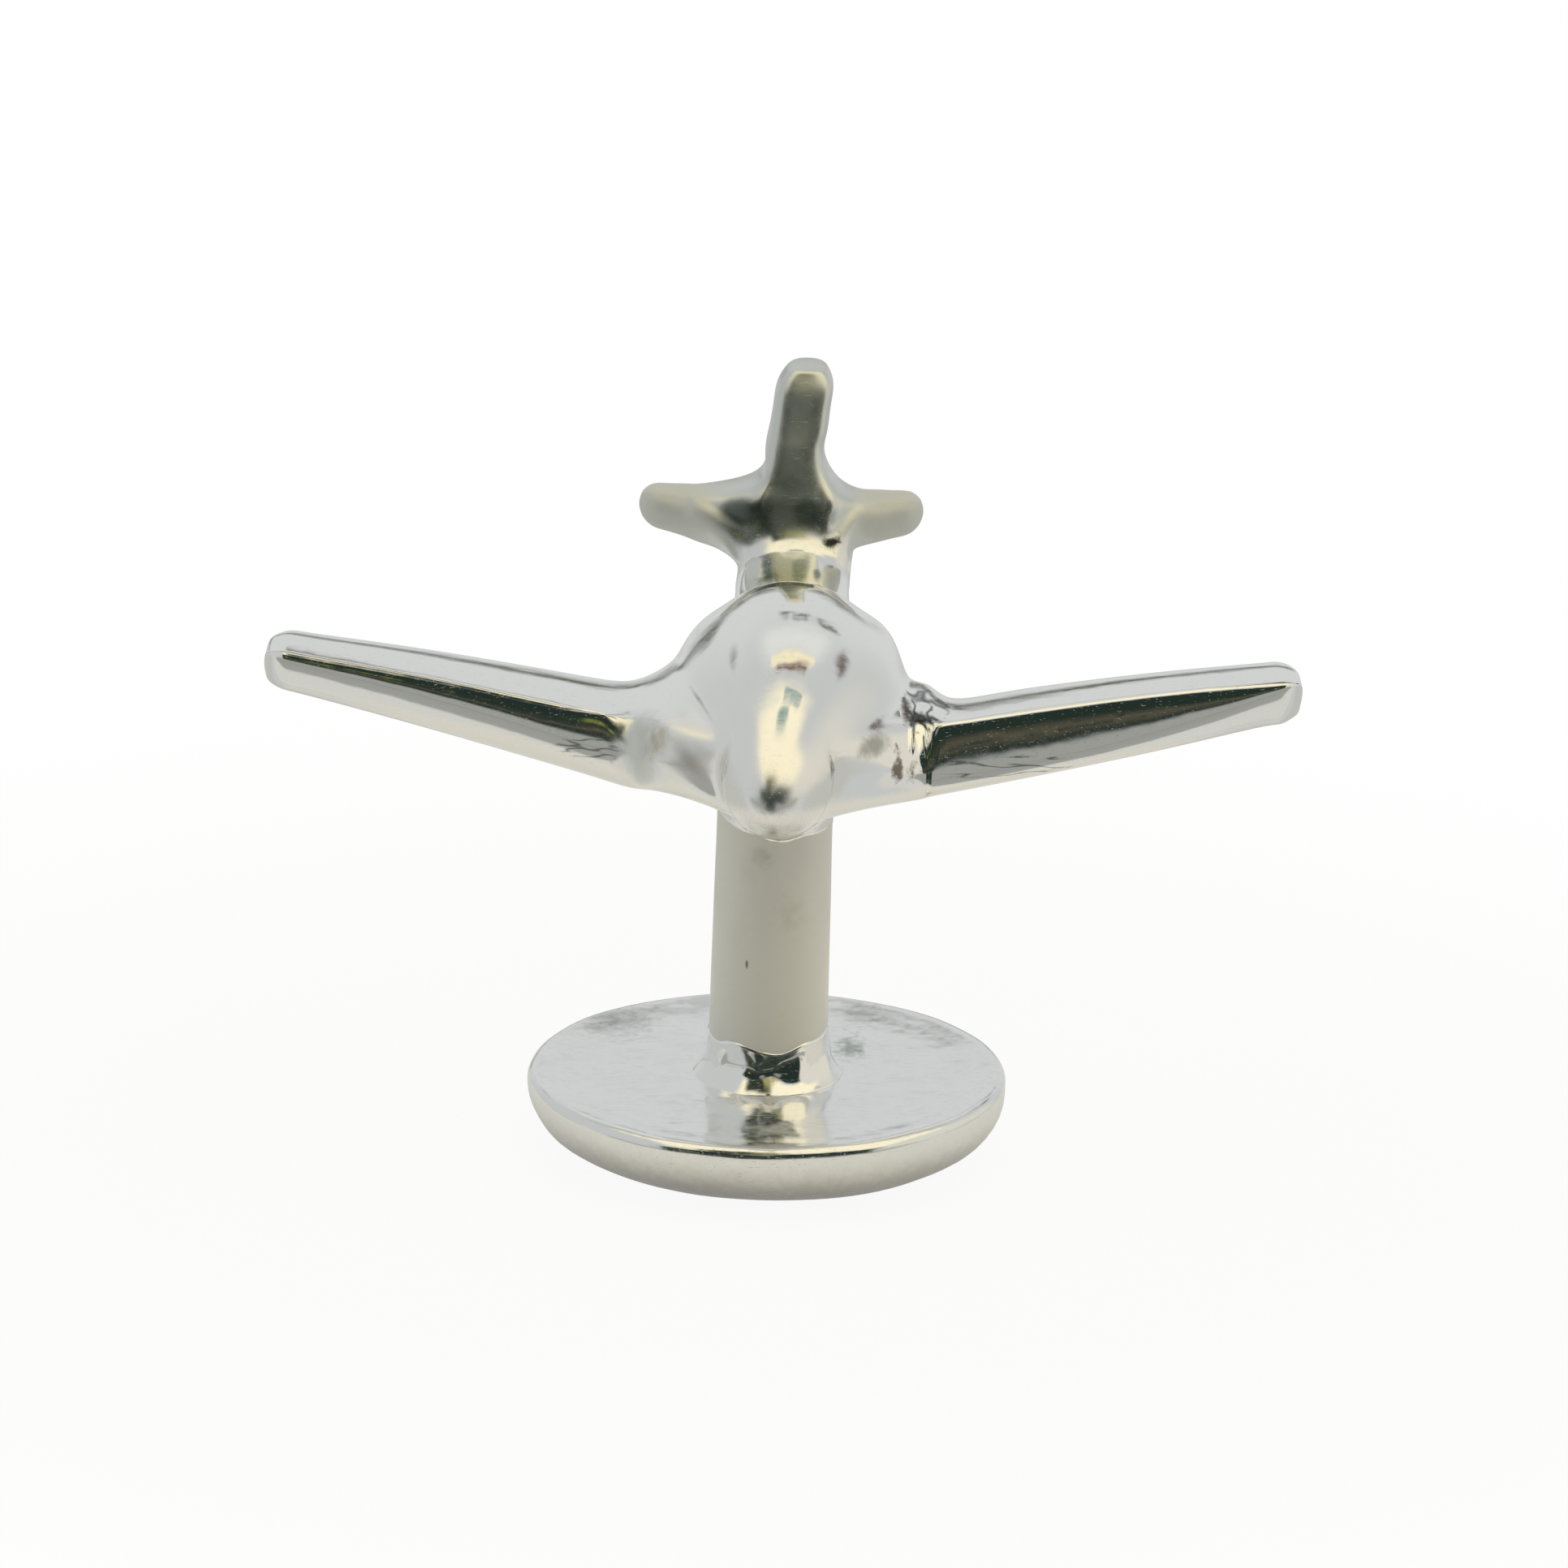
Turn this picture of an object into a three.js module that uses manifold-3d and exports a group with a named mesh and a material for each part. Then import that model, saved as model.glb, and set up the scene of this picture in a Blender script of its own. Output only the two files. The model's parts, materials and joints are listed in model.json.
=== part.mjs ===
// A silver aeroplane cufflink with a fixed back.
// A small aeroplane stands on a short round post, and the post rises from a round button that passes
// through the buttonholes. The aeroplane is a fuselage casting with its fin and tailplane, and two wings
// that are tenoned and soldered to stubs on its sides. Solder also holds the post at the belly and at its
// foot.
// Lengths are in millimetres and angles in degrees. +Z is up, the nose points along -Y, and the origin is
// the centre of the button's flat underside.
import * as THREE from "three";
import { mergeVertices } from "three/addons/utils/BufferGeometryUtils.js";
import Module from "manifold-3d";

// Button
const BUTTON_DIAMETER = 12;
const BUTTON_THICKNESS = 1.9;
const BUTTON_RIM_HEIGHT = 0.45;
const BUTTON_FOOT_DIAMETER = 7.2;
const BUTTON_EDGE_BREAK = 0.12;
const FOOT_RECESS_DEPTH = 0.1;
const BUTTON_SIDES = 56;
const BUTTON_CURVE_STEPS = 6;

// Post, with a peg at its foot and a plain upper end
const POST_FOOT_DIAMETER = 3.0;
const POST_TOP_DIAMETER = 2.85;
const POST_CLEAR_LENGTH = 6.84;
const POST_SEAT_DEPTH = 0.7;
const PEG_DIAMETER = 1.6;
const PEG_LENGTH = 1.0;
const PEG_EDGE_BREAK = 0.15;
const SEAT_CLEARANCE = 0.05;
const POST_SIDES = 32;

// Solder
const SOLDER_CLEARANCE = 0.04;
const SOLDER_LIP = 0.08;
const SOLDER_CONTACT_ANGLE = 30;
const FOOT_SOLDER_WIDTH = 0.36;
const FOOT_SOLDER_HEIGHT = 1.1;
const BELLY_SOLDER_WIDTH = 0.45;
const BELLY_SOLDER_DROP = 0.4;
const WING_SOLDER_THICKNESS = 0.15;
const WING_SOLDER_BEAD = 0.05;
const SOLDER_CURVE_STEPS = 6;

// The aeroplane sits a little to port of the post
const PLANE_OFFSET = 0.27;

// Fuselage, measured from its axis above the button
const FUSELAGE_WIDTH = 5.4;
const FUSELAGE_HEIGHT = 5.12;
const NOSE_REACH = 6.7;
const TAIL_REACH = 13.4;
const TAIL_RISE = 1.15;
const NOSE_DROOP = 0.5;
// The nose turns a little to starboard, more and more towards its point
const NOSE_TURN = 0.35;
const NOSE_TURN_POWER = 1.5;
const FUSELAGE_SIDES = 36;
const FUSELAGE_STEPS = 36;
// Along the length from nose to tail: the half width, the half height and how far the axis has risen
const FUSELAGE_STATION_SHARES = [0, 0.02, 0.06, 0.13, 0.22, 0.32, 0.42, 0.53, 0.65, 0.77, 0.88, 0.96, 1];
const FUSELAGE_WIDTH_SHARES = [0, 0.27, 0.43, 0.62, 0.84, 0.985, 1, 0.88, 0.62, 0.56, 0.54, 0.42, 0.16];
const FUSELAGE_HEIGHT_SHARES = [0, 0.3, 0.5, 0.7, 0.88, 0.985, 1, 0.87, 0.48, 0.44, 0.46, 0.42, 0.16];
const FUSELAGE_RISE_SHARES = [-1, -0.9, -0.75, -0.45, -0.15, 0, 0, 0, 0, 0.1, 0.5, 0.88, 1];

// Wings
const WING_SEAM_OFFSET = 3.25;
const WING_ROOT_CHORD = 4.69;
const WING_TIP_CHORD = 2.8;
const WING_TIP_THICKNESS = 1.15;
const WING_ROOT_FRONT = 2.62;
const WING_SWEEP = 15;
const WING_NOSE_UP = 2;
const WING_END_BLEND_RADIUS = 0.9;
const WING_BLEND_SHARE = 0.62;
const WING_FRONT_BLEND_SHARE = 0.45;
// How much of the plain wing the closer stations at its root run on over
const WING_RUN_OUT_SHARE = 0.06;
const STUB_CORE_OFFSET = 0.9;
// Each wing was fitted by hand: starboard has a broad blend, and port a tight one and a thinner root,
// whose top lies at a depth below the fuselage's axis
const STARBOARD_WING_REACH = 13.02;
const STARBOARD_WING_ROOT_THICKNESS = 2.04;
const STARBOARD_WING_ROOT_TOP = 0.14;
const STARBOARD_WING_DIHEDRAL = 5.8;
const STARBOARD_WING_BLEND_RADIUS = 2.9;
const PORT_WING_REACH = 12.68;
const PORT_WING_ROOT_THICKNESS = 1.62;
const PORT_WING_ROOT_DEPTH = 0.05;
const PORT_WING_DIHEDRAL = 6.7;
const PORT_WING_BLEND_RADIUS = 1.5;
const WING_TIP_ROUND = 0.5;
const WING_TOP_EDGE_ROUND = 0.3;
const WING_BELLY_ROUND = 0.85;
const WING_REAR_EDGE_HEIGHT = 0.7;
const WING_REAR_EDGE_ROUND = 0.3;
const WING_CORNER_STEPS = 6;
const TENON_WIDTH = 2.4;
const TENON_THICKNESS = 0.9;
const TENON_LENGTH = 1.2;
const TENON_ROUND = 0.3;

// Tailplane. Like the fin's foot, it sits a little to starboard of the fuselage's axis.
const TAILPLANE_SPAN = 7.6;
const TAILPLANE_ROOT_CHORD = 3.0;
const TAILPLANE_TIP_CHORD = 1.7;
const TAILPLANE_ROOT_THICKNESS = 1.45;
const TAILPLANE_TIP_THICKNESS = 0.85;
const TAILPLANE_CENTRE_REACH = 12.0;
const TAILPLANE_HEIGHT = 1.95;
const TAILPLANE_OFFSET = 0.36;
const TAILPLANE_SWEEP = 6;
const TAILPLANE_BLEND_RADIUS = 1.2;
const TAILPLANE_BLEND_SHARE = 0.22;
const TAILPLANE_SIDES = 28;

// Fin
const FIN_HEIGHT = 6.0;
const FIN_OFFSET = 0.37;
const FIN_ROOT_CHORD = 3.4;
const FIN_TIP_CHORD = 1.9;
const FIN_ROOT_THICKNESS = 1.65;
const FIN_TIP_THICKNESS = 1.45;
const FIN_CENTRE_REACH = 11.6;
const FIN_SWEEP = 12;
const FIN_LEAN = 7.5;
const FIN_TIP_ROUND = 0.6;
const FIN_BLEND_RADIUS = 1.1;
const FIN_BLEND_SHARE = 0.5;
const FIN_SIDES = 28;

// One overrun serves every cutter that passes through a face
const CUT_OVERRUN = 0.5;
// Points of one surface closer than this are one point
const MERGE_DISTANCE = 1e-5;
// How far along its length a form is drawn to the point at its end, and how far its end is drawn in
const POINTED_END_SHARE = 0.9996;
const ROUND_END_SHARE = 0.97;
// The most of a side that the rounding of one corner may take
const CORNER_SHARE = 0.49;

// Values that follow from the sizes above
const postFootRadius = POST_FOOT_DIAMETER / 2;
const postTopRadius = POST_TOP_DIAMETER / 2;
const bellyHeight = BUTTON_THICKNESS + POST_CLEAR_LENGTH;
const axisHeight = bellyHeight + FUSELAGE_HEIGHT / 2;
const postSeatHeight = bellyHeight + POST_SEAT_DEPTH;
const shoulderHeight = BUTTON_THICKNESS - FOOT_RECESS_DEPTH;
const wingRootOffset = WING_SEAM_OFFSET + WING_SOLDER_THICKNESS;
const endBlendStart = FUSELAGE_WIDTH / 2 + WING_END_BLEND_RADIUS;
const stubShoulder = FUSELAGE_WIDTH / 2 - WING_END_BLEND_RADIUS;

const wasm = await Module();
wasm.setup();

const radians = THREE.MathUtils.degToRad;
const mix = THREE.MathUtils.lerp;

// Height gained by a round blend of the given radius at a distance from where the blend begins.
function blendRise(distance, radius) {
  const run = THREE.MathUtils.clamp(distance, 0, radius);
  return radius - Math.sqrt(radius * radius - run * run);
}

// The same rise, stopped part of the way round, where it runs into the body.
function cappedBlend(distance, radius, share) {
  return Math.min(blendRise(distance, radius), radius * share);
}

// Places between two ends, closer together towards the far end, as a round end needs.
function arcSpacing(from, to, steps) {
  return Array.from({ length: steps }, (_, i) => mix(from, to, Math.sin(((i + 1) / steps) * (Math.PI / 2))));
}

function evenSpacing(from, to, steps) {
  return Array.from({ length: steps + 1 }, (_, i) => mix(from, to, i / steps));
}

// A monotone table read between its stations by a smooth curve.
function readTable(stations, values, at) {
  const last = stations.length - 1;
  let i = 0;
  while (i < last - 1 && at > stations[i + 1]) i++;
  const width = stations[i + 1] - stations[i];
  const t = (at - stations[i]) / width;
  const slope = (k) => {
    const a = Math.max(k - 1, 0);
    const b = Math.min(k + 1, last);
    return (values[b] - values[a]) / (stations[b] - stations[a]);
  };
  const t2 = t * t;
  const t3 = t2 * t;
  return (
    (2 * t3 - 3 * t2 + 1) * values[i] +
    (t3 - 2 * t2 + t) * width * slope(i) +
    (3 * t2 - 2 * t3) * values[i + 1] +
    (t3 - t2) * width * slope(i + 1)
  );
}

// A polygon of 2-D corners, each rounded by its own radius with the same number of points.
function roundedOutline(corners, radii, steps) {
  const points = [];
  corners.forEach((corner, i) => {
    const before = corners[(i + corners.length - 1) % corners.length];
    const after = corners[(i + 1) % corners.length];
    const a = before.clone().sub(corner);
    const b = after.clone().sub(corner);
    const room = Math.min(a.length(), b.length()) * CORNER_SHARE;
    a.normalize();
    b.normalize();
    const half = Math.acos(THREE.MathUtils.clamp(a.dot(b), -1, 1)) / 2;
    const reach = Math.min(radii[i] / Math.tan(half), room);
    const radius = reach * Math.tan(half);
    const centre = corner.clone().addScaledVector(a.clone().add(b).normalize(), radius / Math.sin(half));
    const start = corner.clone().addScaledVector(a, reach).sub(centre);
    const end = corner.clone().addScaledVector(b, reach).sub(centre);
    const from = start.angle();
    let sweep = end.angle() - from;
    if (sweep > Math.PI) sweep -= 2 * Math.PI;
    if (sweep < -Math.PI) sweep += 2 * Math.PI;
    for (let k = 0; k <= steps; k++) {
      const angle = from + (sweep * k) / steps;
      const spoke = new THREE.Vector2(Math.cos(angle), Math.sin(angle));
      points.push(centre.clone().addScaledVector(spoke, radius));
    }
  });
  return points;
}

// An ellipse in its own plane as 2-D points.
function ellipseOutline(centre, halfWidth, halfHeight, sides) {
  return Array.from({ length: sides }, (_, i) => {
    const angle = (2 * Math.PI * i) / sides;
    return new THREE.Vector2(
      centre.x + halfWidth * Math.cos(angle),
      centre.y + halfHeight * Math.sin(angle),
    );
  });
}

// A closed surface through rings of equal point counts, with a fan at each end.
function loft(rings) {
  const count = rings[0].length;
  const middle = (ring) =>
    ring.reduce((sum, p) => sum.add(p), new THREE.Vector3()).divideScalar(ring.length);
  const points = [...rings.flat(), middle(rings[0]), middle(rings[rings.length - 1])];
  const index = [];
  const startCap = rings.length * count;
  const endCap = startCap + 1;
  for (let j = 0; j < count; j++) {
    const k = (j + 1) % count;
    index.push(startCap, k, j);
    for (let i = 0; i < rings.length - 1; i++) {
      const a = i * count;
      const b = a + count;
      index.push(a + j, a + k, b + k, a + j, b + k, b + j);
    }
    const last = (rings.length - 1) * count;
    index.push(endCap, last + j, last + k);
  }
  const geometry = new THREE.BufferGeometry().setFromPoints(points);
  geometry.setIndex(index);
  return geometry;
}

// A solid from a closed geometry, turned to face outwards.
function solidFrom(geometry) {
  const bare = geometry.clone();
  bare.deleteAttribute("normal");
  bare.deleteAttribute("uv");
  const merged = mergeVertices(bare, MERGE_DISTANCE);
  const source = merged.index.array;
  const triVerts = [];
  for (let i = 0; i < source.length; i += 3) {
    const [a, b, c] = [source[i], source[i + 1], source[i + 2]];
    if (a !== b && b !== c && c !== a) triVerts.push(a, b, c);
  }
  const build = (triangles) =>
    new wasm.Manifold(
      new wasm.Mesh({
        numProp: 3,
        vertProperties: merged.attributes.position.array,
        triVerts: new Uint32Array(triangles),
      }),
    );
  const solid = build(triVerts);
  if (solid.volume() > 0) return solid;
  return build(triVerts.reverse());
}

// A solid of revolution about +Z from a profile of [radius, height] points.
function revolve(profile, sides) {
  const points = profile.map(([radius, height]) => new THREE.Vector2(radius, height));
  return solidFrom(new THREE.LatheGeometry(points, sides).rotateX(Math.PI / 2));
}

function meshFrom(name, solid, material) {
  const { vertProperties, triVerts, numProp } = solid.getMesh();
  const positions = [];
  for (let i = 0; i < vertProperties.length; i += numProp) {
    positions.push(...vertProperties.subarray(i, i + 3));
  }
  const geometry = new THREE.BufferGeometry();
  geometry.setAttribute("position", new THREE.Float32BufferAttribute(positions, 3));
  geometry.setIndex([...triVerts]);
  geometry.computeVertexNormals();
  const mesh = new THREE.Mesh(geometry, material);
  mesh.name = name;
  return mesh;
}

// Radius of the post at a height above the button's underside.
function postRadiusAt(height) {
  const share = (height - shoulderHeight) / (postSeatHeight - shoulderHeight);
  return mix(postFootRadius, postTopRadius, share);
}

// The round back of the cufflink: a flat top, a short rim and a curved underside with a flat foot. A
// shallow recess in the top takes the post's shoulder and its solder, and a blind hole takes the peg.
function makeButton() {
  const radius = BUTTON_DIAMETER / 2;
  const footRadius = BUTTON_FOOT_DIAMETER / 2;
  const rimBase = BUTTON_THICKNESS - BUTTON_RIM_HEIGHT;
  const profile = [
    [0, 0],
    [footRadius, 0],
  ];
  for (let i = 1; i <= BUTTON_CURVE_STEPS; i++) {
    const angle = (i / BUTTON_CURVE_STEPS) * (Math.PI / 2);
    profile.push([mix(footRadius, radius, Math.sin(angle)), rimBase * (1 - Math.cos(angle))]);
  }
  profile.push([radius, BUTTON_THICKNESS - BUTTON_EDGE_BREAK]);
  profile.push([radius - BUTTON_EDGE_BREAK, BUTTON_THICKNESS]);
  const recessRadius = postFootRadius + FOOT_SOLDER_WIDTH + 2 * SOLDER_CLEARANCE;
  const seatRadius = PEG_DIAMETER / 2 + SEAT_CLEARANCE;
  const seatFloor = shoulderHeight - PEG_LENGTH - SEAT_CLEARANCE;
  profile.push([recessRadius, BUTTON_THICKNESS]);
  profile.push([recessRadius, shoulderHeight]);
  profile.push([seatRadius, shoulderHeight]);
  profile.push([seatRadius, seatFloor]);
  profile.push([0, seatFloor]);
  return revolve(profile, BUTTON_SIDES);
}

// The post: its peg enters the button, its shoulder stands in the recess, and its upper end fills the
// seat drilled in the belly.
function makePost() {
  const pegRadius = PEG_DIAMETER / 2;
  const pegEnd = shoulderHeight - PEG_LENGTH;
  return revolve(
    [
      [0, pegEnd],
      [pegRadius - PEG_EDGE_BREAK, pegEnd],
      [pegRadius, pegEnd + PEG_EDGE_BREAK],
      [pegRadius, shoulderHeight],
      [postFootRadius, shoulderHeight],
      [postTopRadius, postSeatHeight],
      [0, postSeatHeight],
    ],
    POST_SIDES,
  );
}

// A ring of solder round the post between two heights. Its outside is a hollow curve, wide at one end,
// where it meets the face that it wets at the contact angle.
function solderRing(wideEnd, thinEnd, width) {
  const profile = [];
  const contact = radians(SOLDER_CONTACT_ANGLE);
  for (let i = 0; i <= SOLDER_CURVE_STEPS; i++) {
    const turn = mix(contact, Math.PI / 2, i / SOLDER_CURVE_STEPS);
    const share = (1 - Math.sin(turn)) / (1 - Math.sin(contact));
    const height = mix(wideEnd, thinEnd, 1 - Math.cos(turn) / Math.cos(contact));
    const inside = postRadiusAt(height) + SOLDER_CLEARANCE;
    profile.push([inside + mix(SOLDER_LIP, width, share), height]);
  }
  profile.push([postRadiusAt(thinEnd) + SOLDER_CLEARANCE, thinEnd]);
  profile.push([postRadiusAt(wideEnd) + SOLDER_CLEARANCE, wideEnd]);
  profile.push(profile[0]);
  return revolve(profile, POST_SIDES);
}

function fuselageShare(shares, along) {
  return readTable(FUSELAGE_STATION_SHARES, shares, along);
}

// The fuselage: ellipses along its length, from the pointed nose to the blunt tail. The growth is
// added all round, for the cutter that shapes the solder beneath it.
function fuselageBody(growth) {
  const rings = [];
  for (let i = 0; i <= FUSELAGE_STEPS; i++) {
    const turn = (i / FUSELAGE_STEPS) * Math.PI;
    const even = (1 - Math.cos(turn)) / 2;
    const share = THREE.MathUtils.clamp(even, 1 - POINTED_END_SHARE, POINTED_END_SHARE);
    const halfWidth = (FUSELAGE_WIDTH / 2) * fuselageShare(FUSELAGE_WIDTH_SHARES, share);
    const halfHeight = (FUSELAGE_HEIGHT / 2) * fuselageShare(FUSELAGE_HEIGHT_SHARES, share);
    const rise = fuselageShare(FUSELAGE_RISE_SHARES, share);
    const centre = new THREE.Vector2(0, axisHeight + rise * (rise < 0 ? NOSE_DROOP : TAIL_RISE));
    const outline = ellipseOutline(centre, halfWidth + growth, halfHeight + growth, FUSELAGE_SIDES);
    const y = mix(-NOSE_REACH - growth, TAIL_REACH + growth, share);
    const aside = NOSE_TURN * Math.max(-y / NOSE_REACH, 0) ** NOSE_TURN_POWER;
    rings.push(outline.map((p) => new THREE.Vector3(p.x - aside, y, p.y)));
  }
  return solidFrom(loft(rings));
}

// What differs between the two wings, which were fitted by hand. The side is +1 for port.
const WINGS = [
  {
    hand: "port",
    side: 1,
    reach: PORT_WING_REACH,
    rootThickness: PORT_WING_ROOT_THICKNESS,
    rootTop: -PORT_WING_ROOT_DEPTH,
    dihedral: PORT_WING_DIHEDRAL,
    blendRadius: PORT_WING_BLEND_RADIUS,
  },
  {
    hand: "starboard",
    side: -1,
    reach: STARBOARD_WING_REACH,
    rootThickness: STARBOARD_WING_ROOT_THICKNESS,
    rootTop: STARBOARD_WING_ROOT_TOP,
    dihedral: STARBOARD_WING_DIHEDRAL,
    blendRadius: STARBOARD_WING_BLEND_RADIUS,
  },
];

// Distance from the middle at which a wing's top begins to rise into its blend.
function topBlendStart(wing) {
  const reach = FUSELAGE_WIDTH / 2 + wing.blendRadius;
  const rise = wing.rootTop + wing.blendRadius;
  return Math.sqrt(reach * reach - rise * rise);
}

// Outline of a wing at a distance from the middle: a flat front face and top that meet in a tight edge,
// a full rounded belly, and a thinner rear edge. It swells into the blend near the fuselage, narrows
// again inside it, and draws in all round at the tip.
function wingOutline(wing, offset, extra = 0) {
  const run = offset - WING_SEAM_OFFSET;
  const share = Math.max(run, 0) / (wing.reach - WING_SEAM_OFFSET);
  const topBlend = cappedBlend(topBlendStart(wing) - offset, wing.blendRadius, WING_BLEND_SHARE);
  const endBlend = cappedBlend(endBlendStart - offset, WING_END_BLEND_RADIUS, WING_BLEND_SHARE);
  const tipInset = blendRise(offset - (wing.reach - WING_TIP_ROUND), WING_TIP_ROUND);
  const coreInset = Math.max(stubShoulder - offset, 0);
  const shrink = tipInset - extra;
  const front = run * Math.tan(radians(WING_SWEEP)) - WING_ROOT_FRONT - endBlend + shrink + coreInset;
  const chord = mix(WING_ROOT_CHORD, WING_TIP_CHORD, share);
  const rear = front + chord + 2 * (endBlend - shrink - coreInset);
  const thickness = mix(wing.rootThickness, WING_TIP_THICKNESS, share);
  const plainTop = axisHeight + wing.rootTop + run * Math.tan(radians(wing.dihedral));
  const top = plainTop + topBlend - shrink - coreInset;
  const frontTop = top - topBlend * (1 - WING_FRONT_BLEND_SHARE);
  const bottom = Math.min(plainTop - thickness + shrink + coreInset, frontTop - WING_TOP_EDGE_ROUND);
  const rearTop = top - Math.tan(radians(WING_NOSE_UP)) * (rear - front);
  const rearBottom = rearTop - Math.min(WING_REAR_EDGE_HEIGHT + topBlend, top - bottom);
  const corners = [
    new THREE.Vector2(front, bottom),
    new THREE.Vector2(rear, rearBottom),
    new THREE.Vector2(rear, rearTop),
    new THREE.Vector2(front, frontTop),
  ];
  const rounds = [WING_BELLY_ROUND, WING_REAR_EDGE_ROUND, WING_REAR_EDGE_ROUND, WING_TOP_EDGE_ROUND];
  return roundedOutline(corners, rounds, WING_CORNER_STEPS);
}

// A loft of one wing's outlines at distances from the middle.
function wingLoft(wing, offsets, extra = 0) {
  const rings = offsets.map((offset) =>
    wingOutline(wing, offset, extra).map((p) => new THREE.Vector3(wing.side * offset, p.x, p.y)),
  );
  return solidFrom(loft(rings));
}

// The tenon on a wing's root, or the pocket for it when a clearance is given.
function wingTenon(wing, clearance, start, end) {
  const middle = wingOutline(wing, WING_SEAM_OFFSET).reduce((sum, p) => sum.add(p), new THREE.Vector2());
  middle.divideScalar(4 * (WING_CORNER_STEPS + 1));
  const halfWidth = TENON_WIDTH / 2 + clearance;
  const halfThickness = TENON_THICKNESS / 2 + clearance;
  const corners = [
    new THREE.Vector2(middle.x - halfWidth, middle.y - halfThickness),
    new THREE.Vector2(middle.x + halfWidth, middle.y - halfThickness),
    new THREE.Vector2(middle.x + halfWidth, middle.y + halfThickness),
    new THREE.Vector2(middle.x - halfWidth, middle.y + halfThickness),
  ];
  const outline = roundedOutline(corners, Array(4).fill(TENON_ROUND + clearance), WING_CORNER_STEPS);
  return solidFrom(
    loft([start, end].map((offset) => outline.map((p) => new THREE.Vector3(wing.side * offset, p.x, p.y)))),
  );
}

// A wing with its tenon. Its root lies in the blend, so the stations there are closer together.
function makeWing(wing) {
  const blendEnd = mix(Math.max(topBlendStart(wing), wingRootOffset), wing.reach, WING_RUN_OUT_SHARE);
  const offsets = [
    ...evenSpacing(wingRootOffset, blendEnd, 4),
    ...evenSpacing(blendEnd, wing.reach - WING_TIP_ROUND, 4).slice(1),
    ...arcSpacing(wing.reach - WING_TIP_ROUND, wing.reach, 6),
  ];
  const tenon = wingTenon(wing, 0, WING_SEAM_OFFSET - TENON_LENGTH, wingRootOffset + CUT_OVERRUN);
  return wingLoft(wing, offsets).add(tenon);
}

// The layer of solder between a wing and its stub, a little proud all round, with the tenon through it.
function makeWingSolder(wing) {
  const wafer = wingLoft(wing, [WING_SEAM_OFFSET, wingRootOffset], WING_SOLDER_BEAD);
  const slotEnd = wingRootOffset + CUT_OVERRUN;
  return wafer.subtract(wingTenon(wing, SEAT_CLEARANCE, WING_SEAM_OFFSET - CUT_OVERRUN, slotEnd));
}

// The stub on the fuselage that a wing is joined to, from inside the body to the seam.
function wingStub(wing) {
  return wingLoft(wing, [STUB_CORE_OFFSET, ...evenSpacing(stubShoulder, WING_SEAM_OFFSET, 7)]);
}

// The tailplane: one piece from tip to tip through the tail.
function tailplaneBody() {
  const half = TAILPLANE_SPAN / 2;
  const tipRound = TAILPLANE_TIP_THICKNESS / 2;
  const along = (NOSE_REACH + TAILPLANE_CENTRE_REACH) / (NOSE_REACH + TAIL_REACH);
  const bodyRadius = (FUSELAGE_WIDTH / 2) * fuselageShare(FUSELAGE_WIDTH_SHARES, along);
  const blendStart = bodyRadius + TAILPLANE_BLEND_RADIUS;
  const outward = [
    ...evenSpacing(0, blendStart, 7),
    ...evenSpacing(blendStart, half - tipRound, 2).slice(1),
    ...arcSpacing(half - tipRound, half, 6),
  ];
  const stations = [...outward.slice(1).reverse().map((x) => -x), ...outward];
  const rings = stations.map((x) => {
    const share = Math.abs(x) / half;
    const draw = blendRise(Math.abs(x) - (half - tipRound), tipRound) * ROUND_END_SHARE;
    const blend = cappedBlend(blendStart - Math.abs(x), TAILPLANE_BLEND_RADIUS, TAILPLANE_BLEND_SHARE);
    const halfChord = mix(TAILPLANE_ROOT_CHORD, TAILPLANE_TIP_CHORD, share) / 2 - draw + blend;
    const thickness = mix(TAILPLANE_ROOT_THICKNESS, TAILPLANE_TIP_THICKNESS, share);
    const middle = new THREE.Vector2(
      TAILPLANE_CENTRE_REACH + Math.abs(x) * Math.tan(radians(TAILPLANE_SWEEP)),
      axisHeight + TAILPLANE_HEIGHT,
    );
    return ellipseOutline(middle, halfChord, thickness / 2 - draw + blend, TAILPLANE_SIDES).map(
      (p) => new THREE.Vector3(x - TAILPLANE_OFFSET, p.x, p.y),
    );
  });
  return solidFrom(loft(rings));
}

// The fin: it leans a little to port, sweeps back and ends in a round top.
function finBody() {
  const base = axisHeight + TAIL_RISE;
  const top = axisHeight + FIN_HEIGHT;
  const blendStart = axisHeight + TAILPLANE_HEIGHT + TAILPLANE_ROOT_THICKNESS / 2 + FIN_BLEND_RADIUS;
  const heights = [
    ...evenSpacing(base, blendStart, 7),
    ...evenSpacing(blendStart, top - FIN_TIP_ROUND, 3).slice(1),
    ...arcSpacing(top - FIN_TIP_ROUND, top, 6),
  ];
  const rings = heights.map((height) => {
    const rise = height - base;
    const share = rise / (top - base);
    const draw = blendRise(height - (top - FIN_TIP_ROUND), FIN_TIP_ROUND);
    const blend = cappedBlend(blendStart - height, FIN_BLEND_RADIUS, FIN_BLEND_SHARE);
    const middle = new THREE.Vector2(
      rise * Math.tan(radians(FIN_LEAN)) - FIN_OFFSET,
      FIN_CENTRE_REACH + rise * Math.tan(radians(FIN_SWEEP)),
    );
    const halfThickness = mix(FIN_ROOT_THICKNESS, FIN_TIP_THICKNESS, share) / 2 - draw + blend;
    const halfChord = mix(FIN_ROOT_CHORD, FIN_TIP_CHORD, share) / 2 - draw + blend / 2;
    return ellipseOutline(middle, halfThickness, halfChord, FIN_SIDES).map(
      (p) => new THREE.Vector3(p.x, p.y, height),
    );
  });
  return solidFrom(loft(rings));
}

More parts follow.
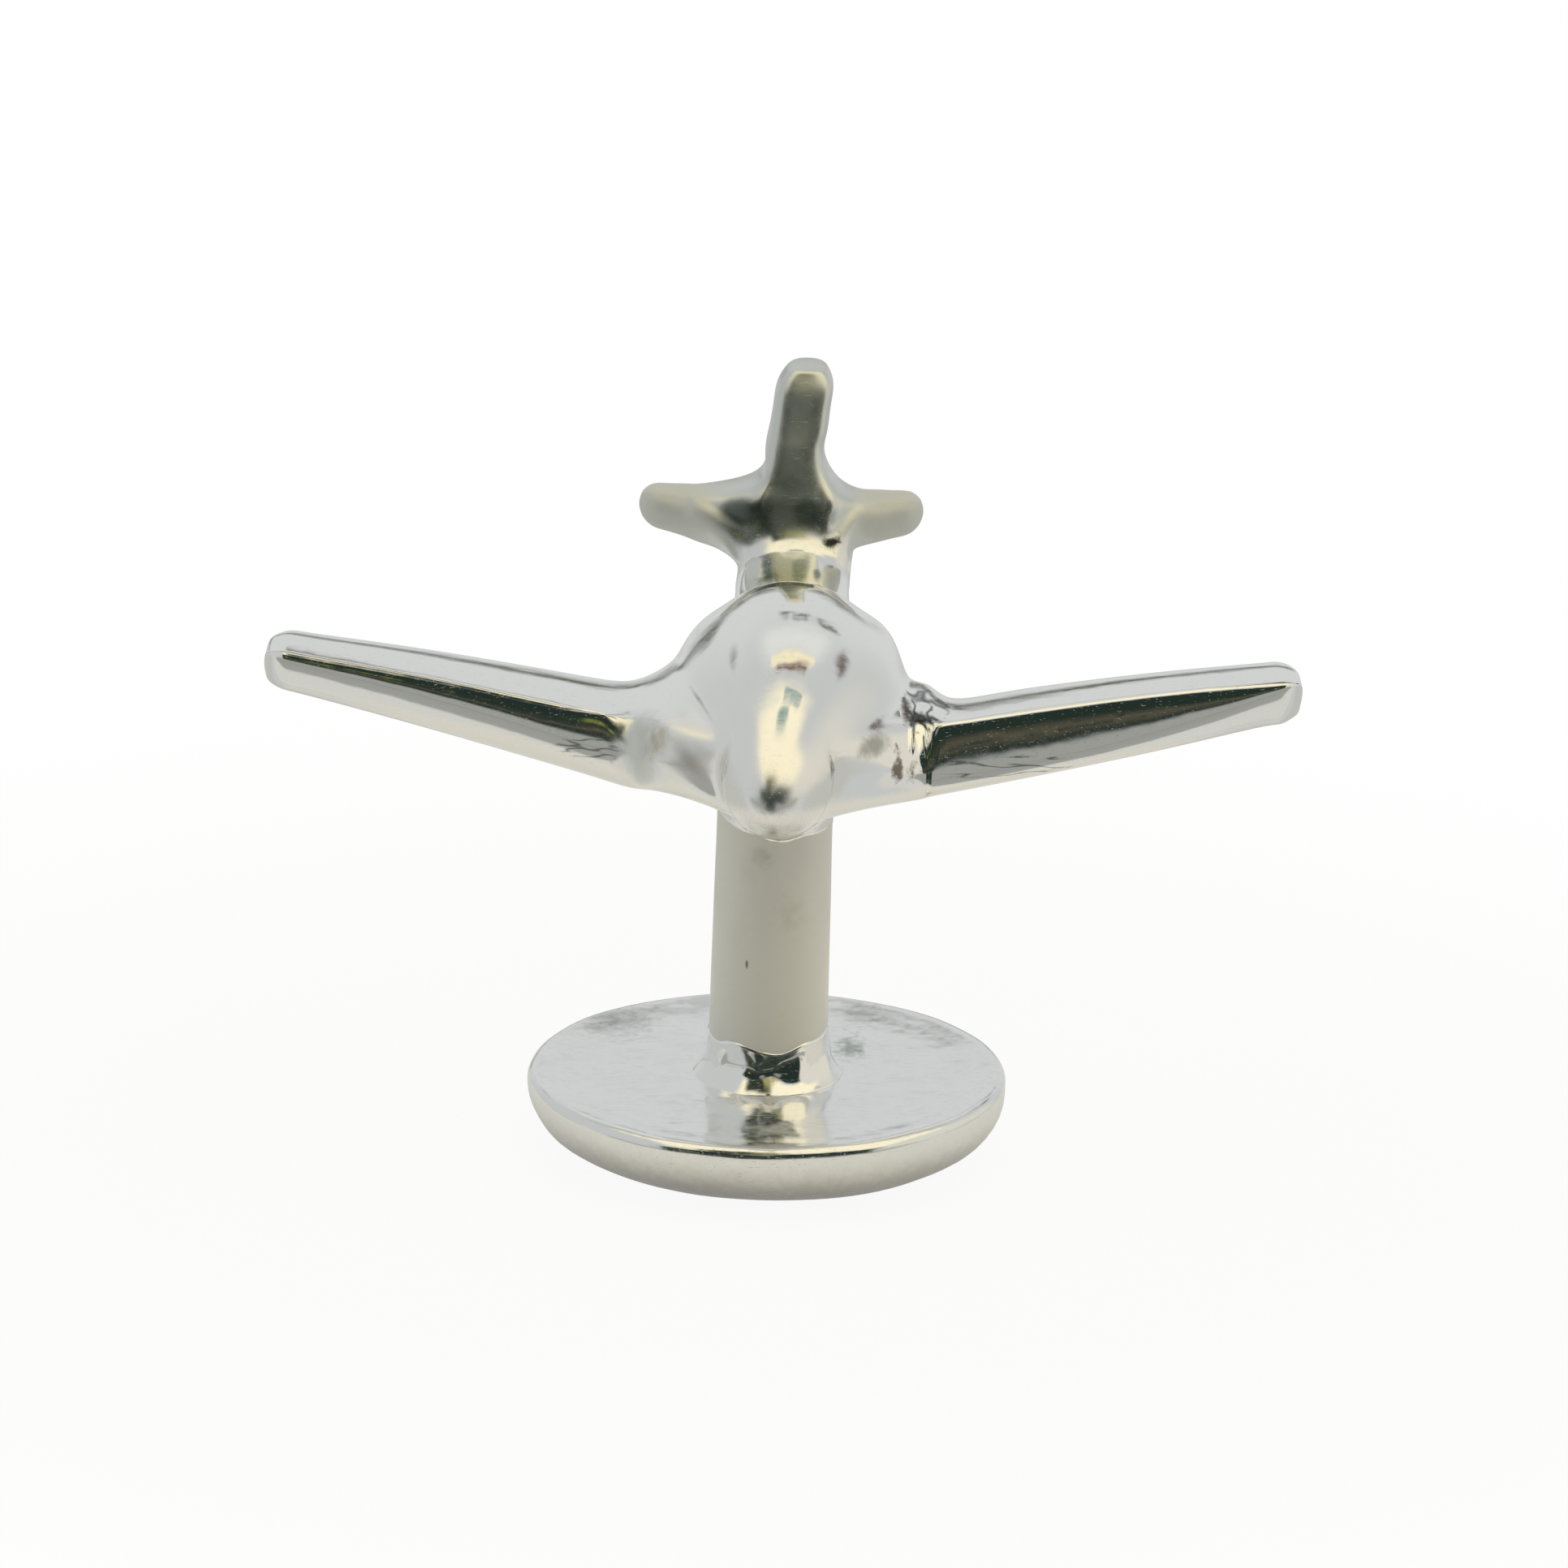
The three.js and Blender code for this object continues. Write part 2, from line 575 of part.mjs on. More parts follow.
// The casting: fuselage, tailplane, fin and wing stubs in one, with a pocket for each tenon and a
// drilled seat for the post.
function makeFuselageCasting() {
  let casting = fuselageBody(0).add(tailplaneBody()).add(finBody());
  for (const wing of WINGS) {
    const pocketFloor = WING_SEAM_OFFSET - TENON_LENGTH - SEAT_CLEARANCE;
    const pocket = wingTenon(wing, SEAT_CLEARANCE, pocketFloor, WING_SEAM_OFFSET + CUT_OVERRUN);
    casting = casting.add(wingStub(wing)).subtract(pocket);
  }
  const seatRadius = postTopRadius + SEAT_CLEARANCE;
  const seat = revolve(
    [
      [0, bellyHeight - CUT_OVERRUN],
      [seatRadius, bellyHeight - CUT_OVERRUN],
      [seatRadius, postSeatHeight],
      [0, postSeatHeight],
    ],
    POST_SIDES,
  );
  return casting.subtract(seat.translate([-PLANE_OFFSET, 0, 0]));
}

// The fillet of solder where the post enters the belly, shaped above by the belly itself.
function makeBellySolder() {
  const wideEnd = postSeatHeight - SOLDER_CLEARANCE;
  const ring = solderRing(wideEnd, bellyHeight - BELLY_SOLDER_DROP, BELLY_SOLDER_WIDTH);
  return ring.subtract(fuselageBody(SOLDER_CLEARANCE).translate([PLANE_OFFSET, 0, 0]));
}

function makeFootSolder() {
  return solderRing(shoulderHeight, BUTTON_THICKNESS + FOOT_SOLDER_HEIGHT, FOOT_SOLDER_WIDTH);
}

function silver(color, roughness) {
  return new THREE.MeshStandardMaterial({ color, roughness, metalness: 1 });
}

const polishedSilver = () => silver(0xe6e5e0, 0.08);
const postSilver = () => silver(0xd6d3ca, 0.3);
const buttonSilver = () => silver(0xdedddb, 0.22);
const solderSilver = () => silver(0xd2cfc6, 0.2);

const cufflink = new THREE.Group();
cufflink.name = "aeroplane_cufflink";

const aeroplane = new THREE.Group();
aeroplane.name = "aeroplane";
aeroplane.position.x = PLANE_OFFSET;
aeroplane.add(meshFrom("fuselage_casting", makeFuselageCasting(), polishedSilver()));
for (const wing of WINGS) {
  aeroplane.add(meshFrom(`${wing.hand}_wing`, makeWing(wing), polishedSilver()));
  aeroplane.add(meshFrom(`${wing.hand}_wing_solder`, makeWingSolder(wing), solderSilver()));
}

const back = new THREE.Group();
back.name = "fixed_back";
back.add(meshFrom("post", makePost(), postSilver()));
back.add(meshFrom("belly_solder_fillet", makeBellySolder(), solderSilver()));
back.add(meshFrom("foot_solder_fillet", makeFootSolder(), solderSilver()));
back.add(meshFrom("button", makeButton(), buttonSilver()));

cufflink.add(aeroplane, back);

export default cufflink;
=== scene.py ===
"""A silver aeroplane cufflink with a fixed back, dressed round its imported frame.

The aeroplane is one smooth cast-and-polished form, cut at the wing seams into the pieces that the frame
holds. The back is turned: a button, a post and two runs of solder. Lengths in the classes are in
millimetres, and each mesh is turned into metres when its object is made.
"""
import json
import logging
import math
from dataclasses import dataclass, field
from enum import Enum
from typing import Callable, NamedTuple, Sequence

import bmesh
import bpy
from mathutils import Matrix, Vector, noise
from mathutils.bvhtree import BVHTree
from mathutils.interpolate import poly_3d_calc


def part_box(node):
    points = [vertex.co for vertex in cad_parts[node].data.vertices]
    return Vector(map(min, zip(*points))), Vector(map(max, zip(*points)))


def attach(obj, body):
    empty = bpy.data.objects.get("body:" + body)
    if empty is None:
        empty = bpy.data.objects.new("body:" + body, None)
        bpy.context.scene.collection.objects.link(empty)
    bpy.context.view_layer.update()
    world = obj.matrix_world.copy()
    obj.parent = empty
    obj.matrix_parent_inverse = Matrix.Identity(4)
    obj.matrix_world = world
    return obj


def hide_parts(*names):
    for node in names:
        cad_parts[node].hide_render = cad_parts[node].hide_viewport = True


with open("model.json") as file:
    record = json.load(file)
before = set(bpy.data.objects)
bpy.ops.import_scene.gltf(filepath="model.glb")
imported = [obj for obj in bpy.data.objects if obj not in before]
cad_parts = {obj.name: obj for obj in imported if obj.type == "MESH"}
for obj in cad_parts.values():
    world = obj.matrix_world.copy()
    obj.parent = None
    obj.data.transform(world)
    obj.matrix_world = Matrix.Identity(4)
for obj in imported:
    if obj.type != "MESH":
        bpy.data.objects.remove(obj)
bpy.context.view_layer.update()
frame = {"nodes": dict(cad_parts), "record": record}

MM = 0.001
ROOT_BODY = "root"
RING_POINTS = 16
RING_STEP = 2 * math.pi / RING_POINTS
CUT_SLACK = 1e-5
MERGE_DISTANCE = 1e-4
LOG = logging.getLogger("cufflink")

Place = Callable[[int, int], Vector]
Triple = tuple[float, float, float]
Value = float | tuple[float, ...] | bpy.types.NodeSocket


class Hand(Enum):
    """The side of the aeroplane that a wing is on, as the sign of its X."""

    PORT = 1
    STARBOARD = -1


class Coordinates(Enum):
    """Where a pattern takes its place from."""

    OBJECT = "Object"
    DIRECTION = "Generated"


# The places round a ring that the fin, the two halves of the tailplane and the wings grow from
FIN_PLACES = (3, 4, 5)
TAILPLANE_PLACES = {1: (1, 2, 3), -1: (7, 6, 5)}
WING_PLACES = {Hand.PORT: (-2, -1, 0, 1), Hand.STARBOARD: (10, 9, 8, 7)}


def clamp(value: float, low: float, high: float) -> float:
    """The value, kept between two limits."""
    return max(low, min(high, value))


def mix(a: float, b: float, share: float) -> float:
    """The value at a share of the way from a to b."""
    return a + (b - a) * share


def smooth_step(value: float, start: float, end: float) -> float:
    """A smooth rise from 0 at the start to 1 at the end."""
    t = clamp((value - start) / (end - start), 0, 1)
    return t * t * (3 - 2 * t)


def blend_rise(distance: float, radius: float) -> float:
    """Height gained by a round blend at a distance from where it begins.

    Args:
        distance: How far past the start of the blend.
        radius: Radius of the blend.

    Returns:
        The rise, from 0 up to the radius.
    """
    run = clamp(distance, 0, radius)
    return radius - math.sqrt(radius * radius - run * run)


def read_table(stations: Sequence[float], values: Sequence[float], at: float) -> float:
    """Read a table by a smooth curve through its values.

    Args:
        stations: Rising places.
        values: The value at each place.
        at: Where to read.

    Returns:
        The value there.
    """
    last = len(stations) - 1
    i = 0
    while i < last - 1 and at > stations[i + 1]:
        i += 1

    def slope(k: int) -> float:
        """Slope of the table at a station."""
        a, b = max(k - 1, 0), min(k + 1, last)
        return (values[b] - values[a]) / (stations[b] - stations[a])

    width = stations[i + 1] - stations[i]
    t = (at - stations[i]) / width
    t2, t3 = t * t, t * t * t
    near = (2 * t3 - 3 * t2 + 1) * values[i] + (t3 - 2 * t2 + t) * width * slope(i)
    return near + (3 * t2 - 2 * t3) * values[i + 1] + (t3 - t2) * width * slope(i + 1)


def round_corner(before: Vector, corner: Vector, after: Vector, radius: float,
                 side_share: float = 0.42) -> tuple[Vector, ...]:
    """Three points on the rounding of a corner.

    Args:
        before: The corner before this one.
        corner: The corner to round.
        after: The corner after it.
        radius: Radius of the rounding, taken smaller where the sides are short.
        side_share: The most of a side that the rounding may take.

    Returns:
        The start, the middle and the end of the rounding.
    """
    a, b = before - corner, after - corner
    half = a.angle(b) / 2
    reach = min(radius / math.tan(half), side_share * min(a.length, b.length))
    a.normalize()
    b.normalize()
    radius = reach * math.tan(half)
    centre = corner + (a + b).normalized() * (radius / math.sin(half))
    middle = centre + (corner - centre).normalized() * radius
    return corner + a * reach, middle, corner + b * reach


class Patch:
    """A grid of quads on a cage, which can be extruded ring after ring.

    Args:
        cage: The bmesh that holds the patch.
        grid: Its vertices by column and row.
    """

    def __init__(self, cage: bmesh.types.BMesh, grid: list[list[bmesh.types.BMVert]]) -> None:
        self.cage = cage
        self.grid = grid

    def faces(self) -> list[bmesh.types.BMFace]:
        """The quads of the patch."""
        found = []
        for c in range(len(self.grid) - 1):
            for r in range(len(self.grid[0]) - 1):
                far = self.grid[c + 1][r + 1]
                found.append(next(f for f in self.grid[c][r].link_faces if far in f.verts))
        return found

    def place(self, where: Place) -> None:
        """Put each vertex where the function says.

        Args:
            where: Gives a place for each column and row.
        """
        for c, column in enumerate(self.grid):
            for r, vertex in enumerate(column):
                vertex.co = where(c, r)

    def grow(self, where: Place) -> None:
        """Extrude the patch, and put its new vertices where the function says.

        Args:
            where: Gives a place for each column and row.
        """
        faces = self.faces()
        edges = list({e for f in faces for e in f.edges})
        verts = [v for column in self.grid for v in column]
        known = {tuple(v.co): (c, r) for c, column in enumerate(self.grid) for r, v in enumerate(column)}
        made = bmesh.ops.extrude_face_region(self.cage, geom=faces + edges + verts)
        for item in made["geom"]:
            if isinstance(item, bmesh.types.BMVert):
                c, r = known[tuple(item.co)]
                self.grid[c][r] = item
        self.place(where)


def fit_to_goal(cage: bmesh.types.BMesh, rounds: int) -> None:
    """Move a quad cage so that its smooth limit surface passes where its vertices now are.

    Args:
        cage: The cage, whose vertices lie on the wanted surface.
        rounds: How many times the remaining error is taken off.
    """
    goals = [(v, v.co.copy()) for v in cage.verts]
    for _ in range(rounds):
        moves = []
        for vertex, goal in goals:
            n = len(vertex.link_edges)
            sides = sum((e.other_vert(vertex).co for e in vertex.link_edges), Vector())
            corners = Vector()
            for face in vertex.link_faces:
                ring = list(face.verts)
                corners += ring[(ring.index(vertex) + 2) % len(ring)].co
            limit = (vertex.co * n * n + sides * 4 + corners) / (n * (n + 5))
            moves.append(goal - limit)
        for (vertex, _), move in zip(goals, moves):
            vertex.co += move


def shares(count: int) -> list[float]:
    """Even shares from 0 to 1, in the given number of steps."""
    return [i / count for i in range(count + 1)]


def wave(at: Vector, scale: float, seed: Sequence[float] = (0, 0, 0)) -> float:
    """A smooth random value, from about -1 to 1, at a place in a pattern."""
    return noise.noise(at * scale + Vector(seed))


def disc_place(c: int, r: int, half: int) -> tuple[float, float]:
    """Polar place on a disc of a square grid's point.

    Args:
        c: Column of the point.
        r: Row of the point.
        half: Columns from the middle to the edge.

    Returns:
        Share of the radius, and angle from +X.
    """
    u, v = c / half - 1, r / half - 1
    reach = max(abs(u), abs(v))
    if reach == 0:
        return 0.0, 0.0
    if abs(u) >= abs(v):
        angle = (math.pi / 4) * (v / u) + (math.pi if u < 0 else 0)
    else:
        angle = math.pi / 2 - (math.pi / 4) * (u / v) + (math.pi if v < 0 else 0)
    return reach, angle


@dataclass(frozen=True)
class Fuselage:
    """The fuselage about its own axis: a teardrop that narrows to a boom and swells again at the tail."""

    width: float = 5.4
    height: float = 5.12
    nose_reach: float = 6.68
    tail_reach: float = 13.4
    tail_rise: float = 1.15
    nose_droop: float = 0.5
    nose_turn: float = 0.35
    nose_turn_power: float = 1.5
    station_shares: tuple[float, ...] = (0, 0.02, 0.06, 0.13, 0.22, 0.32, 0.42, 0.53, 0.65, 0.77, 0.88, 0.96, 1)
    width_shares: tuple[float, ...] = (0, 0.27, 0.43, 0.62, 0.84, 0.985, 1, 0.88, 0.62, 0.56, 0.54, 0.42, 0.16)
    height_shares: tuple[float, ...] = (0, 0.3, 0.5, 0.7, 0.88, 0.985, 1, 0.87, 0.48, 0.44, 0.46, 0.42, 0.16)
    rise_shares: tuple[float, ...] = (-1, -0.9, -0.75, -0.45, -0.15, 0, 0, 0, 0, 0.1, 0.5, 0.88, 1)
    # Rings along Y: those that the wings and the tail grow from are named by the patches below
    rings: tuple[float, ...] = (
        -6.3, -5.75, -5.1, -4.4, -3.0, -1.2, 0.4, 1.9, 3.1, 4.2, 5.6, 7.0, 8.6, 9.7, 10.3, 10.8, 12.6, 13.4,
    )
    wing_rings: tuple[int, int] = (4, 9)
    tail_rings: tuple[int, int] = (15, 18)
    nose_ring: float = -6.56
    end_ring: float = 13.52
    end_cap: float = 13.6
    # The tail's hub from its top down each side, as X and Z from the axis
    hub: tuple[tuple[float, float], ...] = ((0, 3.2), (1.06, 2.98), (1.6, 2.05), (1.56, 1.2))
    hub_shares: dict[int, float] = field(
        default_factory=lambda: {14: 0.05, 15: 0.35, 16: 0.98, 17: 1.0, 18: 0.8, 19: 0.6}
    )

    # How far the flanks fill out and up above the wing roots, at which places, and the share of it at each ring
    shoulder_places: tuple[int, int] = (1, 7)
    port_shoulder: tuple[float, float] = (0.16, 0.18)
    starboard_shoulder: tuple[float, float] = (0.16, 0.12)
    shoulder_shares: dict[int, float] = field(
        default_factory=lambda: {6: 0.1, 7: 0.35, 8: 0.8, 9: 1.0, 10: 0.55}
    )

    def at(self, y: float, angle: float) -> Vector:
        """Find a point on the plain fuselage.

        Args:
            y: Place along the fuselage.
            angle: Angle round it from +X.

        Returns:
            The point, from the fuselage's axis.
        """
        share = clamp((y + self.nose_reach) / (self.nose_reach + self.tail_reach), 0, 1)
        rise = read_table(self.station_shares, self.rise_shares, share)
        centre = rise * (self.tail_rise if rise > 0 else self.nose_droop)
        tip = self.station_shares[1]
        round_nose = math.sqrt(min(share / tip, 1))
        share = max(share, tip)
        wide = round_nose * self.width / 2 * read_table(self.station_shares, self.width_shares, share)
        high = round_nose * self.height / 2 * read_table(self.station_shares, self.height_shares, share)
        turn = self.nose_turn * max(-y / self.nose_reach, 0) ** self.nose_turn_power
        return Vector((wide * math.cos(angle) - turn, y, centre + high * math.sin(angle)))

    def ring_point(self, ring: int, y: float, k: int) -> Vector:
        """Find a point of a ring, with the shoulders' and the hub's swelling.

        Args:
            ring: Number of the ring, from the nose.
            y: Its place along the fuselage.
            k: Number of the point, from +X towards the top.

        Returns:
            The point, from the fuselage's axis.
        """
        plain = self.at(y, k * RING_STEP)
        turned = k % RING_POINTS
        if turned in self.shoulder_places:
            fill = self.shoulder_shares.get(ring, 0.0)
            out, up = self.port_shoulder if turned == self.shoulder_places[0] else self.starboard_shoulder
            plain += Vector((math.copysign(out, plain.x), 0, up)) * fill
        weight = self.hub_shares.get(ring, 0.0)
        quarter = RING_POINTS // 4
        side = 1 if turned <= quarter or turned >= 3 * quarter else -1
        from_top = min(abs(turned - quarter), RING_POINTS - abs(turned - quarter))
        if from_top >= len(self.hub):
            return plain
        x, z = self.hub[from_top]
        return plain.lerp(Vector((side * x, y, z)), weight)


@dataclass(frozen=True)
class WingShape:
    """One wing, measured from the aeroplane's middle and the fuselage's axis."""

    hand: Hand
    reach: float
    seam: float
    root_thickness: float
    root_top: float
    dihedral: float
    blend_radius: float
    root_chord: float = 4.69
    tip_chord: float = 2.8
    tip_thickness: float = 1.25
    root_front: float = 2.62
    sweep: float = 15
    nose_up: float = 2.6
    twist: float = 0.0
    front_fillet: float = 0.6
    first_ring: float = 2.95
    second_ring: float = 3.5
    third_ring: float = 4.4
    fourth_ring: float = 5.4
    outer_ring_shares: tuple[float, ...] = (0.33, 0.66, 0.92, 1)
    tip_steps: tuple[float, ...] = (0.2, 0.05)
    end_blend_radius: float = 0.9
    blend_share: float = 0.68
    front_blend_share: float = 0.45
    face_radius_share: float = 1.0
    face_taper: float = 1.05
    face_taper_power: float = 1.1
    least_face_share: float = 0.14
    undercut: float = 0.05
    face_lean: float = 31
    face_turn: float = -8
    top_edge_round: float = 0.3
    belly_round: float = 0.85
    belly_side_share: float = 0.95
    root_side_share: float = 0.75
    rear_edge_height: float = 0.7
    rear_edge_round: float = 0.3
    tip_round: float = 0.5
    top_camber: float = 0.2
    belly_camber: float = 0.16
    tip_bulge: float = 0.05
    tip_draw: float = 1.6
    bow: float = 0.08
    front_rise_share: float = 0.36
    root_lifts: tuple[float, ...] = (0, 0, 0)
    root_edge_rounds: tuple[float, ...] = (1.6, 1.2, 0.3)
    fuselage_radius: float = 2.7
    columns: int = 5
    rows: int = 3

    def offsets(self) -> list[float]:
        """Distances from the middle at which the wing has a ring, out to its tip."""
        tip = self.reach - self.tip_round
        inner = [self.first_ring, self.second_ring, self.third_ring, self.fourth_ring]
        outer = [mix(inner[-1], tip, share) for share in self.outer_ring_shares]
        return inner + outer + [self.reach - step for step in self.tip_steps]

    def section(self, offset: float) -> dict[tuple[int, int], tuple[float, float]]:
        """The wing's outline at a distance from the middle.

        Args:
            offset: Distance from the middle.

        Returns:
            Y and Z of each point of the patch's grid.
        """
        run = offset - self.seam
        share = run / (self.reach - self.seam)
        reach = self.fuselage_radius + self.blend_radius
        start = math.sqrt(reach**2 - (self.root_top + self.blend_radius) ** 2)
        top_blend = min(blend_rise(start - offset, self.blend_radius), self.blend_radius * self.blend_share)
        top_blend += dict(zip(self.offsets(), self.root_lifts)).get(offset, 0.0)
        end_blend = blend_rise(self.fuselage_radius + self.end_blend_radius - offset, self.end_blend_radius)
        front_blend = blend_rise(self.fuselage_radius + self.front_fillet - offset, self.front_fillet)
        inset = blend_rise(offset - (self.reach - self.tip_round), self.tip_round)
        plain_front = run * math.tan(math.radians(self.sweep)) - self.root_front
        front = plain_front - front_blend + self.tip_draw * inset
        rear = plain_front + mix(self.root_chord, self.tip_chord, share) + end_blend - self.tip_draw * inset
        thickness = mix(self.root_thickness, self.tip_thickness, share)
        plain_top = self.root_top + run * math.tan(math.radians(self.dihedral))
        top = plain_top + top_blend - inset + 4 * self.bow * max(share * (1 - share), 0)
        front_top = top - top_blend * (1 - self.front_blend_share)
        bottom = plain_top - thickness + inset + self.front_rise_share * front_blend
        rear_top = top - math.tan(math.radians(self.nose_up - self.twist * share)) * (rear - front)
        rear_bottom = rear_top - min(self.rear_edge_height + top_blend, top - bottom)
        tighter = self.face_taper * max(share, 0) ** self.face_taper_power
        radius = self.face_radius_share * max(1 - tighter, self.least_face_share) * (front_top - bottom)
        lean = math.radians(self.face_lean)
        hub = Vector((front + radius, front_top - radius * math.sin(lean)))

        def on_face(angle: float) -> Vector:
            """Point on the round front face at an angle."""
            return hub + radius * Vector((-math.cos(angle), math.sin(angle)))

        under = self.undercut * min(tighter, 1) * (front_top - bottom)
        fb, rb = Vector((front + under, bottom)), Vector((rear, rear_bottom))
        rt, ft = Vector((rear, rear_top)), on_face(lean)
        last = self.columns
        grid: dict[tuple[int, int], Vector] = {}
        turn = on_face(math.radians(self.face_turn))
        _, grid[0, 0], grid[1, 0] = round_corner(
            turn, fb, rb, self.belly_round, self.belly_side_share
        )
        grid[0, 1] = turn
        grid[last - 1, 0], grid[last, 0], grid[last, 1] = round_corner(fb, rb, rt, self.rear_edge_round)
        grid[last, 2], grid[last, 3], grid[last - 1, 3] = round_corner(rb, rt, ft, self.rear_edge_round)
        edge_round = dict(zip(self.offsets(), self.root_edge_rounds)).get(offset, self.top_edge_round)
        if edge_round > self.top_edge_round:
            grid[1, 3], grid[0, 3], grid[0, 2] = round_corner(
                rt, ft, turn, edge_round, self.root_side_share
            )
        else:
            grid[1, 3], grid[0, 3], grid[0, 2] = round_corner(rt, ft, on_face(lean / 2), edge_round)
        for c in range(2, last - 1):
            share = (c - 1) / (last - 2)
            crown = 4 * share * (1 - share)
            grid[c, 0] = grid[1, 0].lerp(grid[last - 1, 0], share) - Vector((0, self.belly_camber * crown))
            grid[c, 3] = grid[1, 3].lerp(grid[last - 1, 3], share) + Vector((0, self.top_camber * crown))
        for c in range(1, last):
            for r in (1, 2):
                grid[c, r] = grid[c, 0].lerp(grid[c, 3], r / self.rows)
        return {key: (p.x, p.y) for key, p in grid.items()}

    def ring(self, offset: float) -> Place:
        """Make the function that puts a patch's points on the wing.

        Args:
            offset: Distance from the middle.

        Returns:
            The function, which gives a place for each column and row.
        """
        section = self.section(offset)
        bulge = self.tip_bulge if offset == self.offsets()[-1] else 0.0

        def where(c: int, r: int) -> Vector:
            """Place of the patch's point on the wing."""
            inner = 0 < c < self.columns and 0 < r < self.rows
            return Vector((self.hand.value * (offset + (bulge if inner else 0)), *section[c, r]))

        return where


OvalShares = dict[tuple[int, int], tuple[float, float]]

# Where the outer points of a patch of three columns and two rows lie on a section, as shares of its half
# length and half thickness: a blunt oval for the fin, and one with a low, tight nose for the tailplane
FIN_SHARES: OvalShares = {
    (0, 1): (-1, 0), (0, 0): (-0.93, 0.74), (1, 0): (-0.5, 0.99), (2, 0): (0.35, 0.99), (3, 0): (0.86, 0.68),
    (3, 1): (1, 0), (3, 2): (0.86, -0.68), (2, 2): (0.35, -0.99), (1, 2): (-0.5, -0.99), (0, 2): (-0.93, -0.74),
}
TAILPLANE_SHARES: OvalShares = FIN_SHARES | {
    (0, 1): (-1, -0.3), (0, 0): (-0.88, 0.6), (1, 0): (-0.45, 0.98), (0, 2): (-0.8, -0.8),
}


def oval_point(shares: OvalShares, c: int, r: int, half_chord: float,
               half_thickness: float) -> tuple[float, float]:
    """Place of a patch's point on an oval section.

    Args:
        shares: The section's outer points.
        c: Column, from front to rear.
        r: Row, across the thickness.
        half_chord: Half the oval's length.
        half_thickness: Half its thickness.

    Returns:
        How far rearwards, and how far towards row 0, from the oval's middle.
    """
    along, across = shares.get((c, r), (shares[c, 0][0], 0))
    return half_chord * along, half_thickness * across


@dataclass(frozen=True)
class Tailplane:
    """The tailplane, from the aeroplane's middle and the fuselage's axis."""

    span: float = 7.6
    root_thickness: float = 1.75
    tip_thickness: float = 0.95
    front_reach: float = 10.5
    rear_reach: float = 13.45
    hub_half_width: float = 1.5
    front_sweep: float = 33
    rear_sweep: float = 3
    tip_draw: float = 1.7
    droop: float = 2.5
    top_height: float = 2.6
    offset: float = 0.36
    blend: float = 0.03
    tip_bulge: float = 0.05
    offsets: tuple[float, ...] = (2.0, 2.5, 3.0, 3.4, 3.64, 3.74)

    def ring(self, side: int, distance: float) -> Place:
        """Make the function that puts a patch's points on the tailplane.

        Args:
            side: Side of the tailplane, as the sign of its X.
            distance: Distance from its middle.

        Returns:
            The function, which gives a place for each column and row.
        """
        half = self.span / 2
        tip_round = self.tip_thickness / 2
        inset = blend_rise(distance - (half - tip_round), tip_round)
        blend = self.blend if distance == self.offsets[0] else 0.0
        run = distance - self.hub_half_width
        draw = self.tip_draw * inset - blend
        front = self.front_reach + run * math.tan(math.radians(self.front_sweep)) + draw
        rear = self.rear_reach - run * math.tan(math.radians(self.rear_sweep)) - draw
        plain_thick = mix(self.root_thickness, self.tip_thickness, distance / half) / 2
        half_thick = plain_thick - inset + blend
        height = self.top_height - plain_thick - max(run, 0) * math.tan(math.radians(self.droop))

        def where(c: int, r: int) -> Vector:
            """Place of the patch's point on the tailplane."""
            back, down = oval_point(TAILPLANE_SHARES, c, r, (rear - front) / 2, half_thick)
            cap = self.tip_bulge if (c, r) not in TAILPLANE_SHARES and distance == self.offsets[-1] else 0.0
            return Vector((side * (distance + cap) - self.offset, (front + rear) / 2 + back, height - down))

        return where


@dataclass(frozen=True)
class Fin:
    """The fin, from the aeroplane's middle and the fuselage's axis."""

    height: float = 6.0
    offset: float = 0.37
    root_chord: float = 3.4
    tip_chord: float = 1.9
    root_thickness: float = 1.65
    tip_thickness: float = 1.45
    centre_reach: float = 11.6
    base: float = 1.15
    sweep: float = 12
    lean: float = 7.2
    tip_round: float = 0.6
    top_draw: float = 0.4
    tip_bulge: float = 0.06
    heights: tuple[float, ...] = (3.7, 4.3, 4.9, 5.45, 5.8, 5.93)

    def ring(self, height: float) -> Place:
        """Make the function that puts a patch's points on the fin.

        Args:
            height: Height above the fuselage's axis.

        Returns:
            The function, which gives a place for each column and row.
        """
        rise = height - self.base
        share = rise / (self.height - self.base)
        inset = blend_rise(height - (self.height - self.tip_round), self.tip_round)
        half_thick = mix(self.root_thickness, self.tip_thickness, share) / 2 - inset
        half_chord = mix(self.root_chord, self.tip_chord, share) / 2 - self.top_draw * inset
        x = rise * math.tan(math.radians(self.lean)) - self.offset
        y = self.centre_reach + rise * math.tan(math.radians(self.sweep))

        def where(c: int, r: int) -> Vector:
            """Place of the patch's point on the fin."""
            back, side = oval_point(FIN_SHARES, c, r, half_chord, half_thick)
            cap = self.tip_bulge if (c, r) not in FIN_SHARES and height == self.heights[-1] else 0.0
            return Vector((x + side, y + back, height + cap))

        return where


def make_object(name: str, mesh_data: bmesh.types.BMesh) -> bpy.types.Object:
    """Turn a bmesh in millimetres into a smooth object in metres.

    Args:
        name: The piece's name.
        mesh_data: Its shape, which is freed.

    Returns:
        The object, at the origin.
    """
    mesh_data.transform(Matrix.Scale(MM, 4))
    mesh = bpy.data.meshes.new(name)
    mesh_data.to_mesh(mesh)
    mesh_data.free()
    mesh.shade_smooth()
    piece = bpy.data.objects.new(name, mesh)
    bpy.context.scene.collection.objects.link(piece)
    return piece


